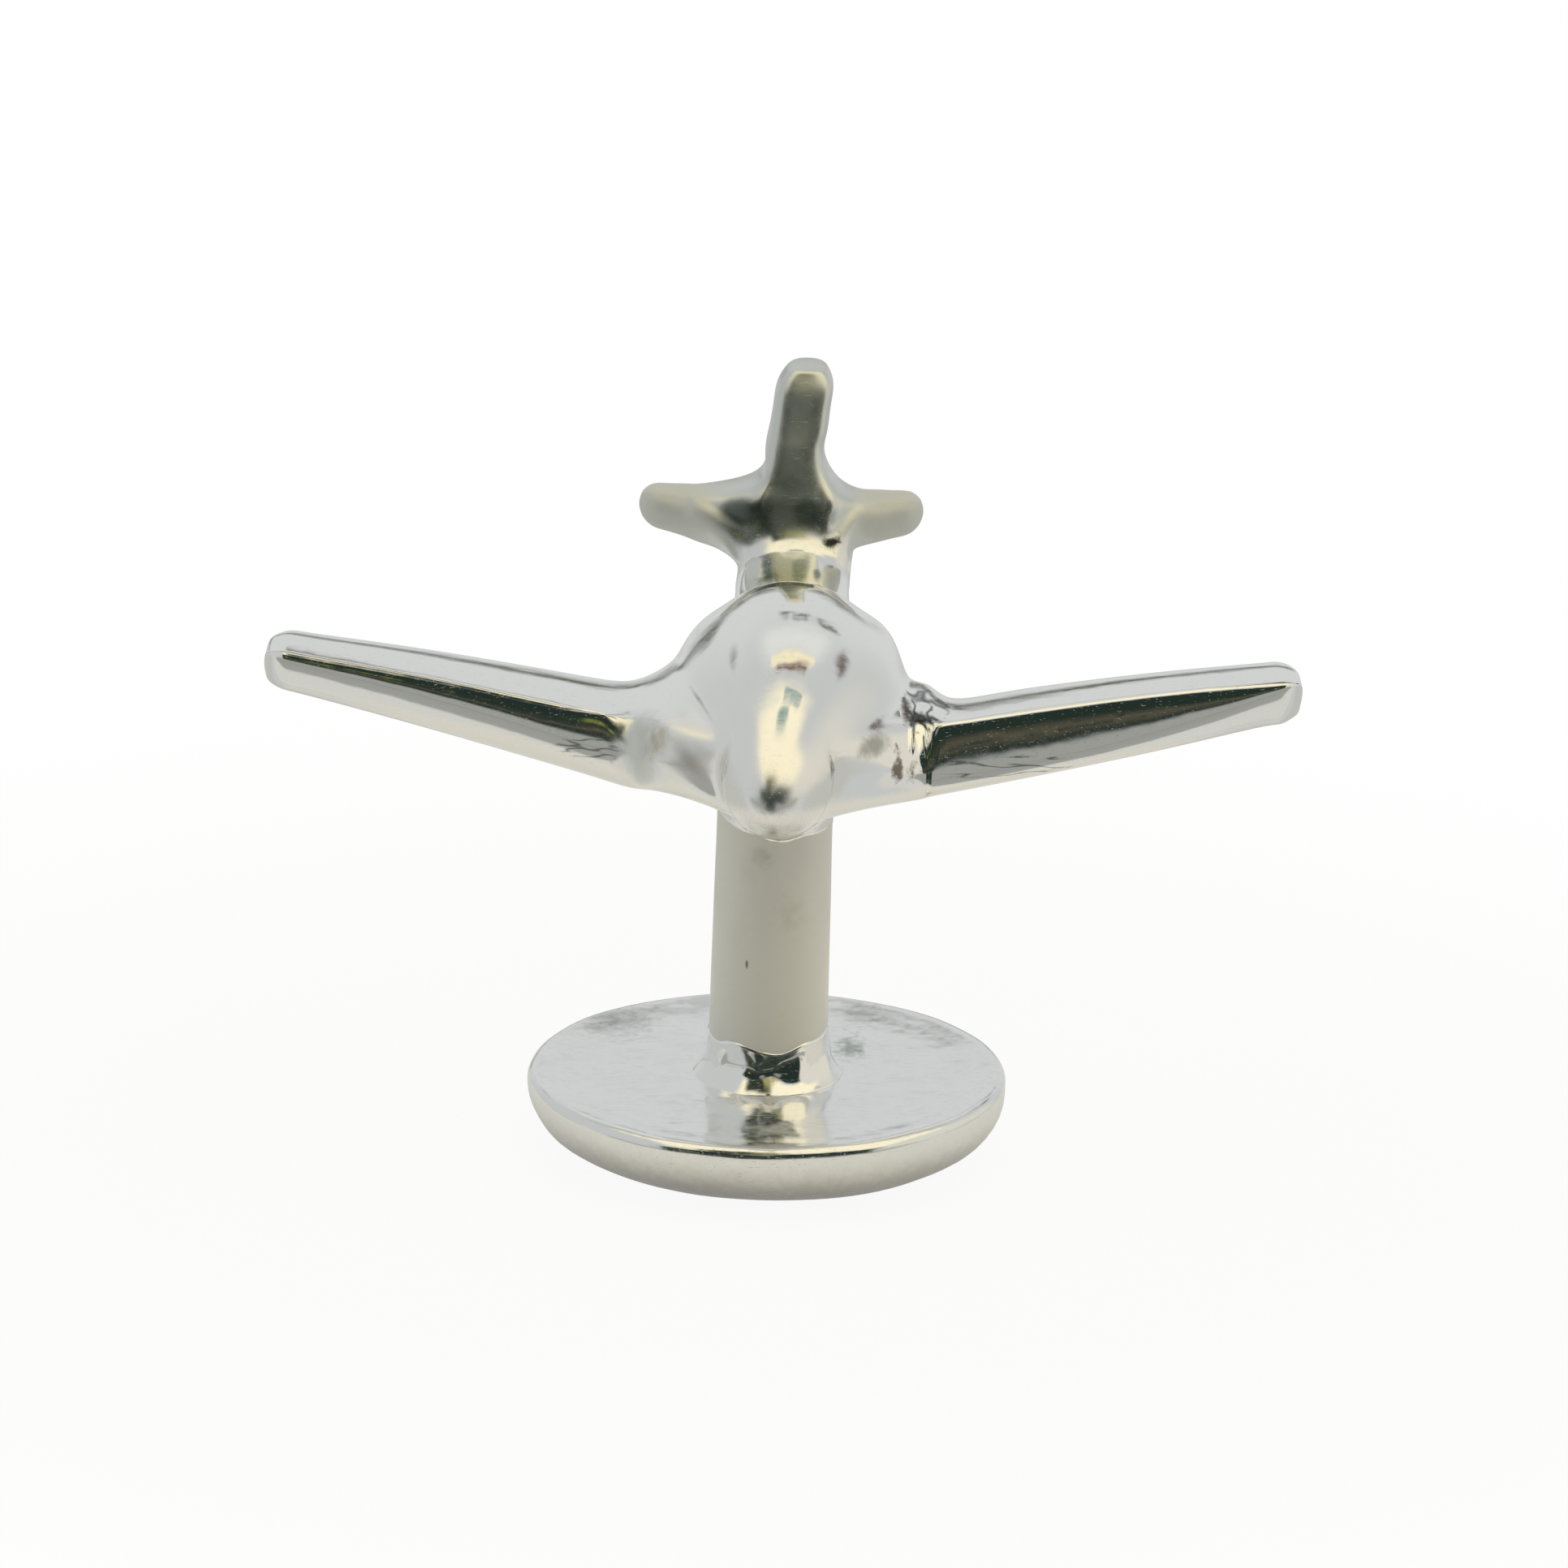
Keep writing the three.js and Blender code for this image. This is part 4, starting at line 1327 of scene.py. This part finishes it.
@dataclass(frozen=True)
class Silver:
    """A silver finish: how bright, how rough, how scratched and how wavy it is."""

    name: str
    colour: Triple
    roughness: tuple[float, float]
    scratches: float
    waviness: float
    wave_scale: float
    pits: float = 0.0
    tarnish: Triple = (0.5, 0.42, 0.3)
    tarnish_share: float = 0.0
    metallic: float = 1.0
    marks: tuple[Mark, ...] = ()
    # Three sets of fine scratches: the turn of each and where its pattern starts
    scratch_sets: tuple[tuple[Triple, float], ...] = (((0, 0, 20), 0), ((15, 40, -35), 5), ((50, 10, 75), 9))
    scratch_stretch: Triple = (1.2, 34, 34)

    def metal(self, board: NodeBoard) -> Look:
        """The plain metal, clouded, dulled and wavy.

        Args:
            board: Where its nodes go.

        Returns:
            Its look.
        """
        place = board.place()
        stain = board.ramp(board.noise(place, 0.9, 4, 0.6), 0.5, 0.75, 0, self.tarnish_share)
        return Look(
            board.blend(stain, (*self.colour, 1), (*self.tarnish, 1)),
            board.ramp(board.noise(place, 6, 3, 0.6), 0.3, 0.75, *self.roughness),
            board.maths("MULTIPLY", board.noise(place, self.wave_scale, 2, 0.4), self.waviness),
        )

    def marked(self, board: NodeBoard, look: Look) -> Look:
        """Put the marks on the metal.

        Args:
            board: Where their nodes go.
            look: The metal's look.

        Returns:
            The look with the marks.
        """
        colour, rough, height = look
        ragged = board.maths("SUBTRACT", board.noise(board.place(), 3.5, 3, 0.6), 0.5)
        for mark in self.marks:
            reach = board.reach(mark.centre, mark.size, mark.turn)
            if mark.dent:
                height = board.maths("SUBTRACT", height, board.ramp(reach, 0, 1, mark.dent, 0))
            edge = board.maths("MULTIPLY_ADD", ragged, mark.ragged * 2, reach)
            inside = board.ramp(edge, 1 - mark.soft, 1, 1, 0)
            if mark.line_scale:
                pattern = board.noise(board.place(scale=mark.line_scale), 1.0, 1)
                line = board.maths("ABSOLUTE", board.maths("SUBTRACT", pattern, 0.5))
                inside = board.maths("MULTIPLY", inside, board.ramp(line, 0, mark.line_width, 1, 0))
            if mark.share:
                colour = board.blend(board.maths("MULTIPLY", inside, mark.share), colour, (*mark.colour, 1))
            if mark.rough:
                rough = board.maths("MULTIPLY_ADD", inside, mark.rough, rough)
        return Look(colour, rough, height)

    def worn(self, board: NodeBoard, look: Look) -> Look:
        """Scratch and pit the metal.

        Args:
            board: Where the nodes go.
            look: The look so far.

        Returns:
            The look with its scratches and pits.
        """
        height = look.height
        for turn, start in self.scratch_sets:
            lines = board.noise(board.place((start, start, 0), self.scratch_stretch, turn), 1.0, 3, 0.7)
            height = board.maths("MULTIPLY_ADD", board.ramp(lines, 0.66, 0.74), -self.scratches, height)
        if self.pits:
            spots = board.add("ShaderNodeTexVoronoi", scale=2.6)
            board.wire(board.place(), spots.inputs["Vector"])
            pit = board.ramp(spots.outputs["Distance"], 0.02, 0.13, 1, 0)
            height = board.maths("MULTIPLY_ADD", pit, -self.pits, height)
        return look._replace(height=height)

    def build(self) -> bpy.types.Material:
        """Make the material.

        Returns:
            The material, on Object coordinates.
        """
        material = bpy.data.materials.new(self.name)
        material.use_nodes = True
        board = NodeBoard(material.node_tree)
        look = self.worn(board, self.marked(board, self.metal(board)))
        shader = board.add("ShaderNodeBsdfPrincipled", metallic=self.metallic)
        bump = board.add("ShaderNodeBump", strength=1, distance=MM)
        out = board.add("ShaderNodeOutputMaterial")
        board.wire(look.colour, shader.inputs["Base Color"])
        board.wire(look.rough, shader.inputs["Roughness"])
        board.wire(look.height, bump.inputs["Height"])
        board.wire(bump.outputs[0], shader.inputs["Normal"])
        board.wire(shader.outputs[0], out.inputs["Surface"])
        return material


BROWN = (0.16, 0.12, 0.09)
BLACK = (0.03, 0.03, 0.03)
GREY = (0.42, 0.42, 0.4)
TEAL = (0.16, 0.22, 0.22)
LINE_GREY = (0.25, 0.25, 0.23)

# The port wing's joint, where the polisher did not reach: a groove, a ridge, residue and fine pits
SCRIBBLES = (1.7, 0.6, 1.7)
PORT_JOINT = (
    Mark((3.12, -1.4, 11.7), (0.17, 1.0, 0.42), BROWN, 1.0, dent=0.06, rough=0.2, ragged=0.7),
    Mark((3.25, -2.3, 11.4), (0.1, 0.9, 0.7), dent=-0.05),
    Mark((2.92, -3.05, 10.8), (0.17, 0.8, 0.5), BROWN, 0.9, rough=0.2, ragged=1.4),
    Mark((3.28, -2.75, 10.6), (0.15, 0.7, 0.4), BROWN, 0.85, rough=0.2, ragged=1.4),
    Mark((3.6, -0.7, 11.75), (0.62, 1.9, 0.5), BLACK, 1.0, ragged=0.3, soft=0.2, line_scale=SCRIBBLES),
    Mark((3.45, -1.3, 11.75), (0.4, 1.2, 0.5), BLACK, 1.0, ragged=0.3, soft=0.2, line_scale=(2.6, 0.9, 2.6)),
    Mark((2.35, -3.45, 11.45), (0.85, 0.9, 0.36), (0.34, 0.34, 0.32), 0.8, rough=0.2, ragged=0.4, turn=(0, -8, 0)),
)

# Painted reflections: thin dark lines painted along the wings' lower faces, where lines of the surroundings are
# reflected
PAINTED_REFLECTION_LINES = (
    Mark((5.4, -2.0, 10.6), (2.4, 1.0, 0.32), LINE_GREY, 0.9, soft=0.4, line_scale=(0.5, 1, 5), line_width=0.05),
    Mark((-4.5, -2.0, 10.75), (1.0, 1.0, 0.36), LINE_GREY, 0.9, soft=0.4, line_scale=(0.9, 1, 5), line_width=0.06),
)

# The starboard root's blend, which carries soft grey smudges and was left less bright
STARBOARD_ROOT = (
    Mark((-3.8, -2.4, 11.25), (0.09, 0.3, 0.09), BLACK, 0.9),
    Mark((-2.2, -3.7, 11.4), (1.5, 1.4, 1.1), rough=0.35, ragged=0.2, soft=0.6),
    Mark((-3.4, -2.7, 11.2), (0.9, 1.4, 1.3), (0.68, 0.69, 0.65), 0.8, rough=0.26, ragged=0.2, soft=0.8),
    Mark((-2.9, -3.4, 11.35), (0.5, 0.7, 0.75), (0.52, 0.45, 0.34), 0.6, ragged=0.6, soft=1),
    Mark((-2.1, -3.9, 11.15), (0.85, 0.9, 0.3), (0.5, 0.46, 0.4), 0.5, ragged=0.3, soft=1, turn=(0, 42, 0)),
)

# The tail and the nose, which are duller; painted shade in the hollow at the foot of the fin, and a stain beside it;
# and a painted reflection on the boom ahead of the fin
TAIL_AND_NOSE = (
    Mark((0, 12.6, 14.6), (6.5, 3.4, 6), (0.7, 0.72, 0.69), 1.0, rough=0.25, soft=0.45, ragged=0.1),
    Mark((3.3, 11.8, 13.3), (2.3, 3, 1.3), (0.77, 0.78, 0.75), 1.0, rough=0.4, soft=0.5, ragged=0.1),
    Mark((-3.3, 11.8, 13.3), (2.3, 3, 1.3), (0.77, 0.78, 0.75), 1.0, rough=0.4, soft=0.5, ragged=0.1),
    # Painted shade: dark green-grey patches in the hollow at the front of the fin's foot
    Mark((-0.25, 10.4, 13.65), (1.7, 0.9, 0.6), (0.3, 0.33, 0.3), 0.85, soft=0.6, ragged=0.1),
    Mark((-1.15, 10.6, 13.65), (0.75, 0.8, 0.45), (0.12, 0.15, 0.125), 0.85, soft=0.5, ragged=0.1),
    Mark((0.6, 10.4, 13.7), (0.5, 0.8, 0.5), (0.15, 0.19, 0.16), 0.8, soft=0.6, ragged=0.1),
    Mark((0, 10.9, 14.4), (0.8, 1, 0.6), (0.3, 0.33, 0.3), 0.6, soft=1, ragged=0.1),
    # Painted reflection on the boom: a cream glint, with dark green-grey patches in it
    Mark((0, 8.5, 12.5), (1.5, 0.75, 0.6), (0.97, 0.92, 0.75), 0.9, soft=0.7, ragged=0.2),
    Mark((-0.95, 8.6, 12.45), (0.35, 0.6, 0.4), (0.55, 0.6, 0.54), 0.8, soft=0.6),
    Mark((-0.42, 8.5, 12.4), (0.4, 0.5, 0.4), TEAL, 0.8),
    Mark((0.9, 8.8, 12.45), (0.14, 0.6, 0.4), TEAL, 0.8),
    Mark((1.3, 10.2, 13.0), (0.34, 0.6, 0.24), BLACK, 1.0, ragged=0.8, turn=(0, -20, 0)),
    Mark((0, -7.2, 11.0), (3, 4, 3), rough=0.2, soft=0.7, ragged=0.1),
)

MIRROR = {"colour": (0.93, 0.925, 0.905), "roughness": (0.06, 0.11), "scratches": 0.0012, "waviness": 0.02,
          "wave_scale": 0.8}
FINISHES = {
    "polished_silver": Silver(
        "mirror_polished_silver", **MIRROR, marks=PORT_JOINT + STARBOARD_ROOT + PAINTED_REFLECTION_LINES + TAIL_AND_NOSE,
    ),
    "silver_solder": Silver("bright_solder", **MIRROR, marks=PORT_JOINT + STARBOARD_ROOT),
    "post_silver": Silver(
        "satin_post_silver", (0.99, 0.99, 0.975), (0.3, 0.36), scratches=0.0003, waviness=0.02, wave_scale=1.0,
        pits=0.002, metallic=0.05, tarnish=(0.93, 0.92, 0.89), tarnish_share=0.6,
        marks=(
            Mark((-0.3, -1.4, 7.9), (0.35, 0.6, 0.4), GREY, 0.3, ragged=0.9, soft=1),
            Mark((0.4, -1.4, 6.5), (0.5, 0.6, 0.8), (0.7, 0.66, 0.58), 0.3, ragged=0.9, soft=1),
            Mark((-0.58, -1.35, 5.1), (0.05, 0.5, 0.14), BROWN, 0.8),
        ),
    ),
    "button_silver": Silver(
        "worn_and_shaded_button_silver", (0.9, 0.905, 0.9), (0.12, 0.2), scratches=0.003, waviness=0.045, wave_scale=0.9,
        marks=(
            # Painted shade: the button's underside and lower side are darkened towards the bottom, where they face
            # the floor
            Mark((0, 0, 0.5), (12, 12, 1.35), (0.5, 0.49, 0.44), 1.0, rough=0.1, soft=0.7, ragged=0.1),
            Mark((-3.9, 3.4, 1.9), (1.3, 1.7, 0.5), GREY, 0.5, ragged=0.9, soft=1),
            Mark((2.4, 4.3, 1.95), (0.8, 1.2, 0.5), GREY, 0.5, ragged=0.9, soft=1),
            Mark((2.1, 1.8, 1.95), (0.5, 1.3, 0.5), (0.2, 0.24, 0.2), 0.75, ragged=0.9, soft=1),
        ),
    ),
}


@dataclass(frozen=True)
class Card:
    """A patch of the studio that the silver reflects, by direction from the object.

    The pitch runs from the camera's side over the top: 0 is level towards the camera, 90 is straight up and
    180 is level behind. The side runs from -90 at the starboard wing to 90 at the port wing.
    """

    colour: Triple
    pitch: tuple[float, float]
    side: tuple[float, float]
    soft: float = 3
    broken: float = 0.0


@dataclass(frozen=True)
class Studio:
    """A light tent with a dark opening for the camera, a pale floor and the camera itself, in metres."""

    tent: Triple = (0.575, 0.593, 0.59)
    # How far the tent's edges wander, in degrees, and how its broken cards come and go
    wander: float = 5
    gap_limits: tuple[float, float] = (0.44, 0.56)
    floor_front: float = 0.052
    floor_rear: float = 0.2
    floor_side: float = 0.15
    floor_paint: Triple = (0.86, 0.85, 0.815)
    # The floor's own light: to the camera, near and far from the cufflink, and to the silver
    near_glow: float = 0.93
    glow_reach: tuple[float, float] = (0.015, 0.045)
    mirror_glow: float = 0.3
    # Where the floor gives way to the tent in the silver's reflections
    clear_reach: tuple[float, float] = (0.013, 0.02)
    elevation: float = 19.6
    roll: float = 1.8
    distance: float = 0.140
    aim_height: float = 0.0019
    focal_pixels: float = 6860
    image_size: float = 1932
    sensor: float = 36
    shift_pixels: tuple[float, float] = (-21, 351)
    cards: tuple[Card, ...] = (
        # The tent behind and overhead, its darker lower parts, and the warm lamp over the nose
        Card((0.67, 0.685, 0.685), (146, 200), (-32, 32), 12),
        Card((0.76, 0.775, 0.75), (134, 146), (-14, 20), 5),
        Card((0.74, 0.715, 0.63), (-30, 210), (50, 100), 14),
        Card((0.66, 0.66, 0.62), (-90, -44), (-90, 90), 6),
        Card((0.34, 0.35, 0.325), (-44, -4), (-75, 75), 3),
        Card((0.53, 0.535, 0.5), (190, 245), (-75, 75), 8),
        Card((1.05, 0.96, 0.7), (46, 106), (-34, 56), 6),
        Card((1.05, 0.96, 0.7), (100, 121), (-30, 30), 6),
        # Small glints, gaps and lines overhead
        Card((1.1, 1.0, 0.74), (115, 117.6), (-6, 22), 1.2),
        Card((0.2, 0.32, 0.32), (109.5, 115), (-4, 9), 2),
        Card((0.24, 0.34, 0.34), (117.6, 120.3), (0, 20), 1.2),
        Card((0.2, 0.12, 0.08), (128.5, 131.5), (-8, 15), 1.2),
        Card((1.0, 0.88, 0.58), (132, 135), (-11, 18), 1),
        Card((0.16, 0.13, 0.12), (142, 149), (27, 36), 3),
        Card((0.3, 0.29, 0.28), (150, 155), (-31, -25), 3),
        Card((0.16, 0.16, 0.15), (151, 154.5), (-4, 20), 1.5, 0.9),
        Card((0.12, 0.12, 0.1), (175, 181), (-24, 12), 3, 0.3),
        # The dark opening that the camera looks through, and what stands in it
        Card((0.018, 0.03, 0.024), (-4, 40), (-46, 52), 3),
        Card((0.018, 0.03, 0.024), (-32, -2), (-24, 10), 4),
        Card((0.03, 0.04, 0.03), (38, 62), (-24, 4), 4),
        Card((0.27, 0.275, 0.25), (23, 36), (-9, 3), 3),
        Card((0.36, 0.35, 0.15), (40, 56), (-6, 8), 4),
        Card((0.3, 0.33, 0.06), (14, 20), (-36, -30), 2),
        Card((0.1, 0.09, 0.06), (2, 9), (-60, 66), 4, 0.9),
        Card((0.2, 0.2, 0.19), (-21, -19.5), (-70, 70), 0.8, 0.5),
        Card((0.26, 0.26, 0.24), (-27, -26), (-70, 70), 0.8, 0.5),
    )

    def world(self) -> None:
        """Paint the tent by direction, white to the camera."""
        world = bpy.data.worlds.new("light_tent")
        bpy.context.scene.world = world
        world.use_nodes = True
        board = NodeBoard(world.node_tree)
        direction = board.coordinates(Coordinates.DIRECTION)
        split = board.add("ShaderNodeSeparateXYZ")
        board.wire(direction, split.inputs[0])
        x, y, z = split.outputs
        degrees = 180 / math.pi
        towards = board.maths("MULTIPLY", y, -1)
        raw_pitch = board.maths("MULTIPLY", board.maths("ARCTAN2", z, towards), degrees)
        behind_below = board.maths("LESS_THAN", raw_pitch, -90)
        pitch = board.maths("MULTIPLY_ADD", behind_below, 360, raw_pitch)
        side = board.maths("MULTIPLY", board.maths("ARCSINE", x), degrees)
        wobble = board.maths("SUBTRACT", board.noise(direction, 5), 0.5)
        pitch = board.maths("MULTIPLY_ADD", wobble, self.wander, pitch)
        gaps = board.ramp(board.noise(direction, 16), *self.gap_limits)
        colour = self.tent + (1,)
        for card in self.cards:
            share = 1.0
            for value, (low, high) in ((pitch, card.pitch), (side, card.side)):
                share = board.maths("MULTIPLY", share, board.ramp(value, low - card.soft, low + card.soft))
                share = board.maths("MULTIPLY", share, board.ramp(value, high - card.soft, high + card.soft, 1, 0))
            if card.broken:
                kept = board.maths("MULTIPLY_ADD", gaps, card.broken, 1 - card.broken)
                share = board.maths("MULTIPLY", share, kept)
            colour = board.blend(share, colour, card.colour + (1,))
        path = board.add("ShaderNodeLightPath")
        colour = board.blend(path.outputs["Is Camera Ray"], colour, (1, 1, 1, 1))
        light = board.add("ShaderNodeBackground")
        board.wire(colour, light.inputs["Color"])
        out = board.add("ShaderNodeOutputWorld")
        board.wire(light.outputs[0], out.inputs["Surface"])

    def floor(self) -> None:
        """A plain pale table that ends a little in front of the cufflink, and fades into the white round it."""
        shape = bmesh.new()
        bmesh.ops.create_grid(shape, x_segments=1, y_segments=1, size=1)
        depth = (self.floor_front + self.floor_rear) / 2
        middle = (self.floor_rear - self.floor_front) / 2
        bmesh.ops.scale(shape, verts=shape.verts[:], vec=(self.floor_side / MM, depth / MM, 1))
        bmesh.ops.translate(shape, verts=shape.verts[:], vec=(0, middle / MM, 0))
        floor = make_object("floor", shape)
        material = bpy.data.materials.new("white_floor")
        material.use_nodes = True
        board = NodeBoard(material.node_tree)
        paint = board.add("ShaderNodeBsdfDiffuse")
        paint.inputs["Color"].default_value = (*self.floor_paint, 1)
        glow = board.add("ShaderNodeEmission")
        glow.inputs["Color"].default_value = (1, 1, 1, 1)
        path = board.add("ShaderNodeLightPath")
        distance = board.length(board.coordinates())
        to_camera = board.ramp(distance, *self.glow_reach, self.near_glow, 1.0)
        to_silver = board.maths("MULTIPLY", path.outputs["Is Glossy Ray"], self.mirror_glow)
        share = board.maths("MULTIPLY_ADD", path.outputs["Is Camera Ray"], to_camera, to_silver)
        table = board.mix_shaders(share, paint, glow)
        # Beyond its near part, reflections see the tent in place of the table
        far = board.ramp(distance, *self.clear_reach)
        seen_through = board.maths("MULTIPLY", far, path.outputs["Is Glossy Ray"])
        surface = board.mix_shaders(seen_through, table, board.add("ShaderNodeBsdfTransparent"))
        out = board.add("ShaderNodeOutputMaterial")
        board.wire(surface.outputs[0], out.inputs["Surface"])
        floor.data.materials.append(material)

    def camera(self) -> None:
        """Set the camera at the photograph's angle, framing the object as it does."""
        elevation, roll = math.radians(self.elevation), math.radians(self.roll)
        forward = Vector((0, math.cos(elevation), -math.sin(elevation)))
        level_right = Vector((1, 0, 0))
        level_up = level_right.cross(forward)
        right = math.cos(roll) * level_right + math.sin(roll) * level_up
        up = right.cross(forward)
        eye = Vector((0, 0, self.aim_height)) - forward * self.distance
        yaw, pitch = (math.atan(shift / self.focal_pixels) for shift in self.shift_pixels)
        turn = Matrix.Rotation(yaw, 3, up) @ Matrix.Rotation(pitch, 3, right)
        right, up, forward = turn @ right, turn @ up, turn @ forward
        data = bpy.data.cameras.new("camera")
        data.sensor_width = self.sensor
        data.lens = self.focal_pixels / self.image_size * self.sensor
        data.clip_start = 0.005
        camera = bpy.data.objects.new("camera", data)
        bpy.context.scene.collection.objects.link(camera)
        basis = Matrix((right, up, -forward)).transposed().to_4x4()
        camera.matrix_world = Matrix.Translation(eye) @ basis
        bpy.context.scene.camera = camera

    def build(self) -> None:
        """Set up the whole studio."""
        bpy.context.scene.view_settings.view_transform = "Standard"
        self.world()
        self.floor()
        self.camera()


def main() -> None:
    """Build the cufflink in order."""
    logging.basicConfig(level=logging.INFO, format="%(name)s: %(message)s")
    Studio().build()
    aeroplane = Aeroplane()
    pieces = aeroplane.build()
    pieces += FixedBack().build(aeroplane)
    slots = {p["node"]: p["material_slot"] for p in frame["record"]["subparts"]}
    finishes = {name: finish.build() for name, finish in FINISHES.items()}
    for piece in pieces:
        piece.data.materials.clear()
        piece.data.materials.append(finishes[piece["finish_slot"]])
        LOG.info("%s: %d faces", piece.name, len(piece.data.polygons))
    for node, shape in frame["nodes"].items():
        shape.data.materials.clear()
        shape.data.materials.append(finishes[slots[node]])
    bpy.context.view_layer.update()


if __name__ == "__main__":
    main()
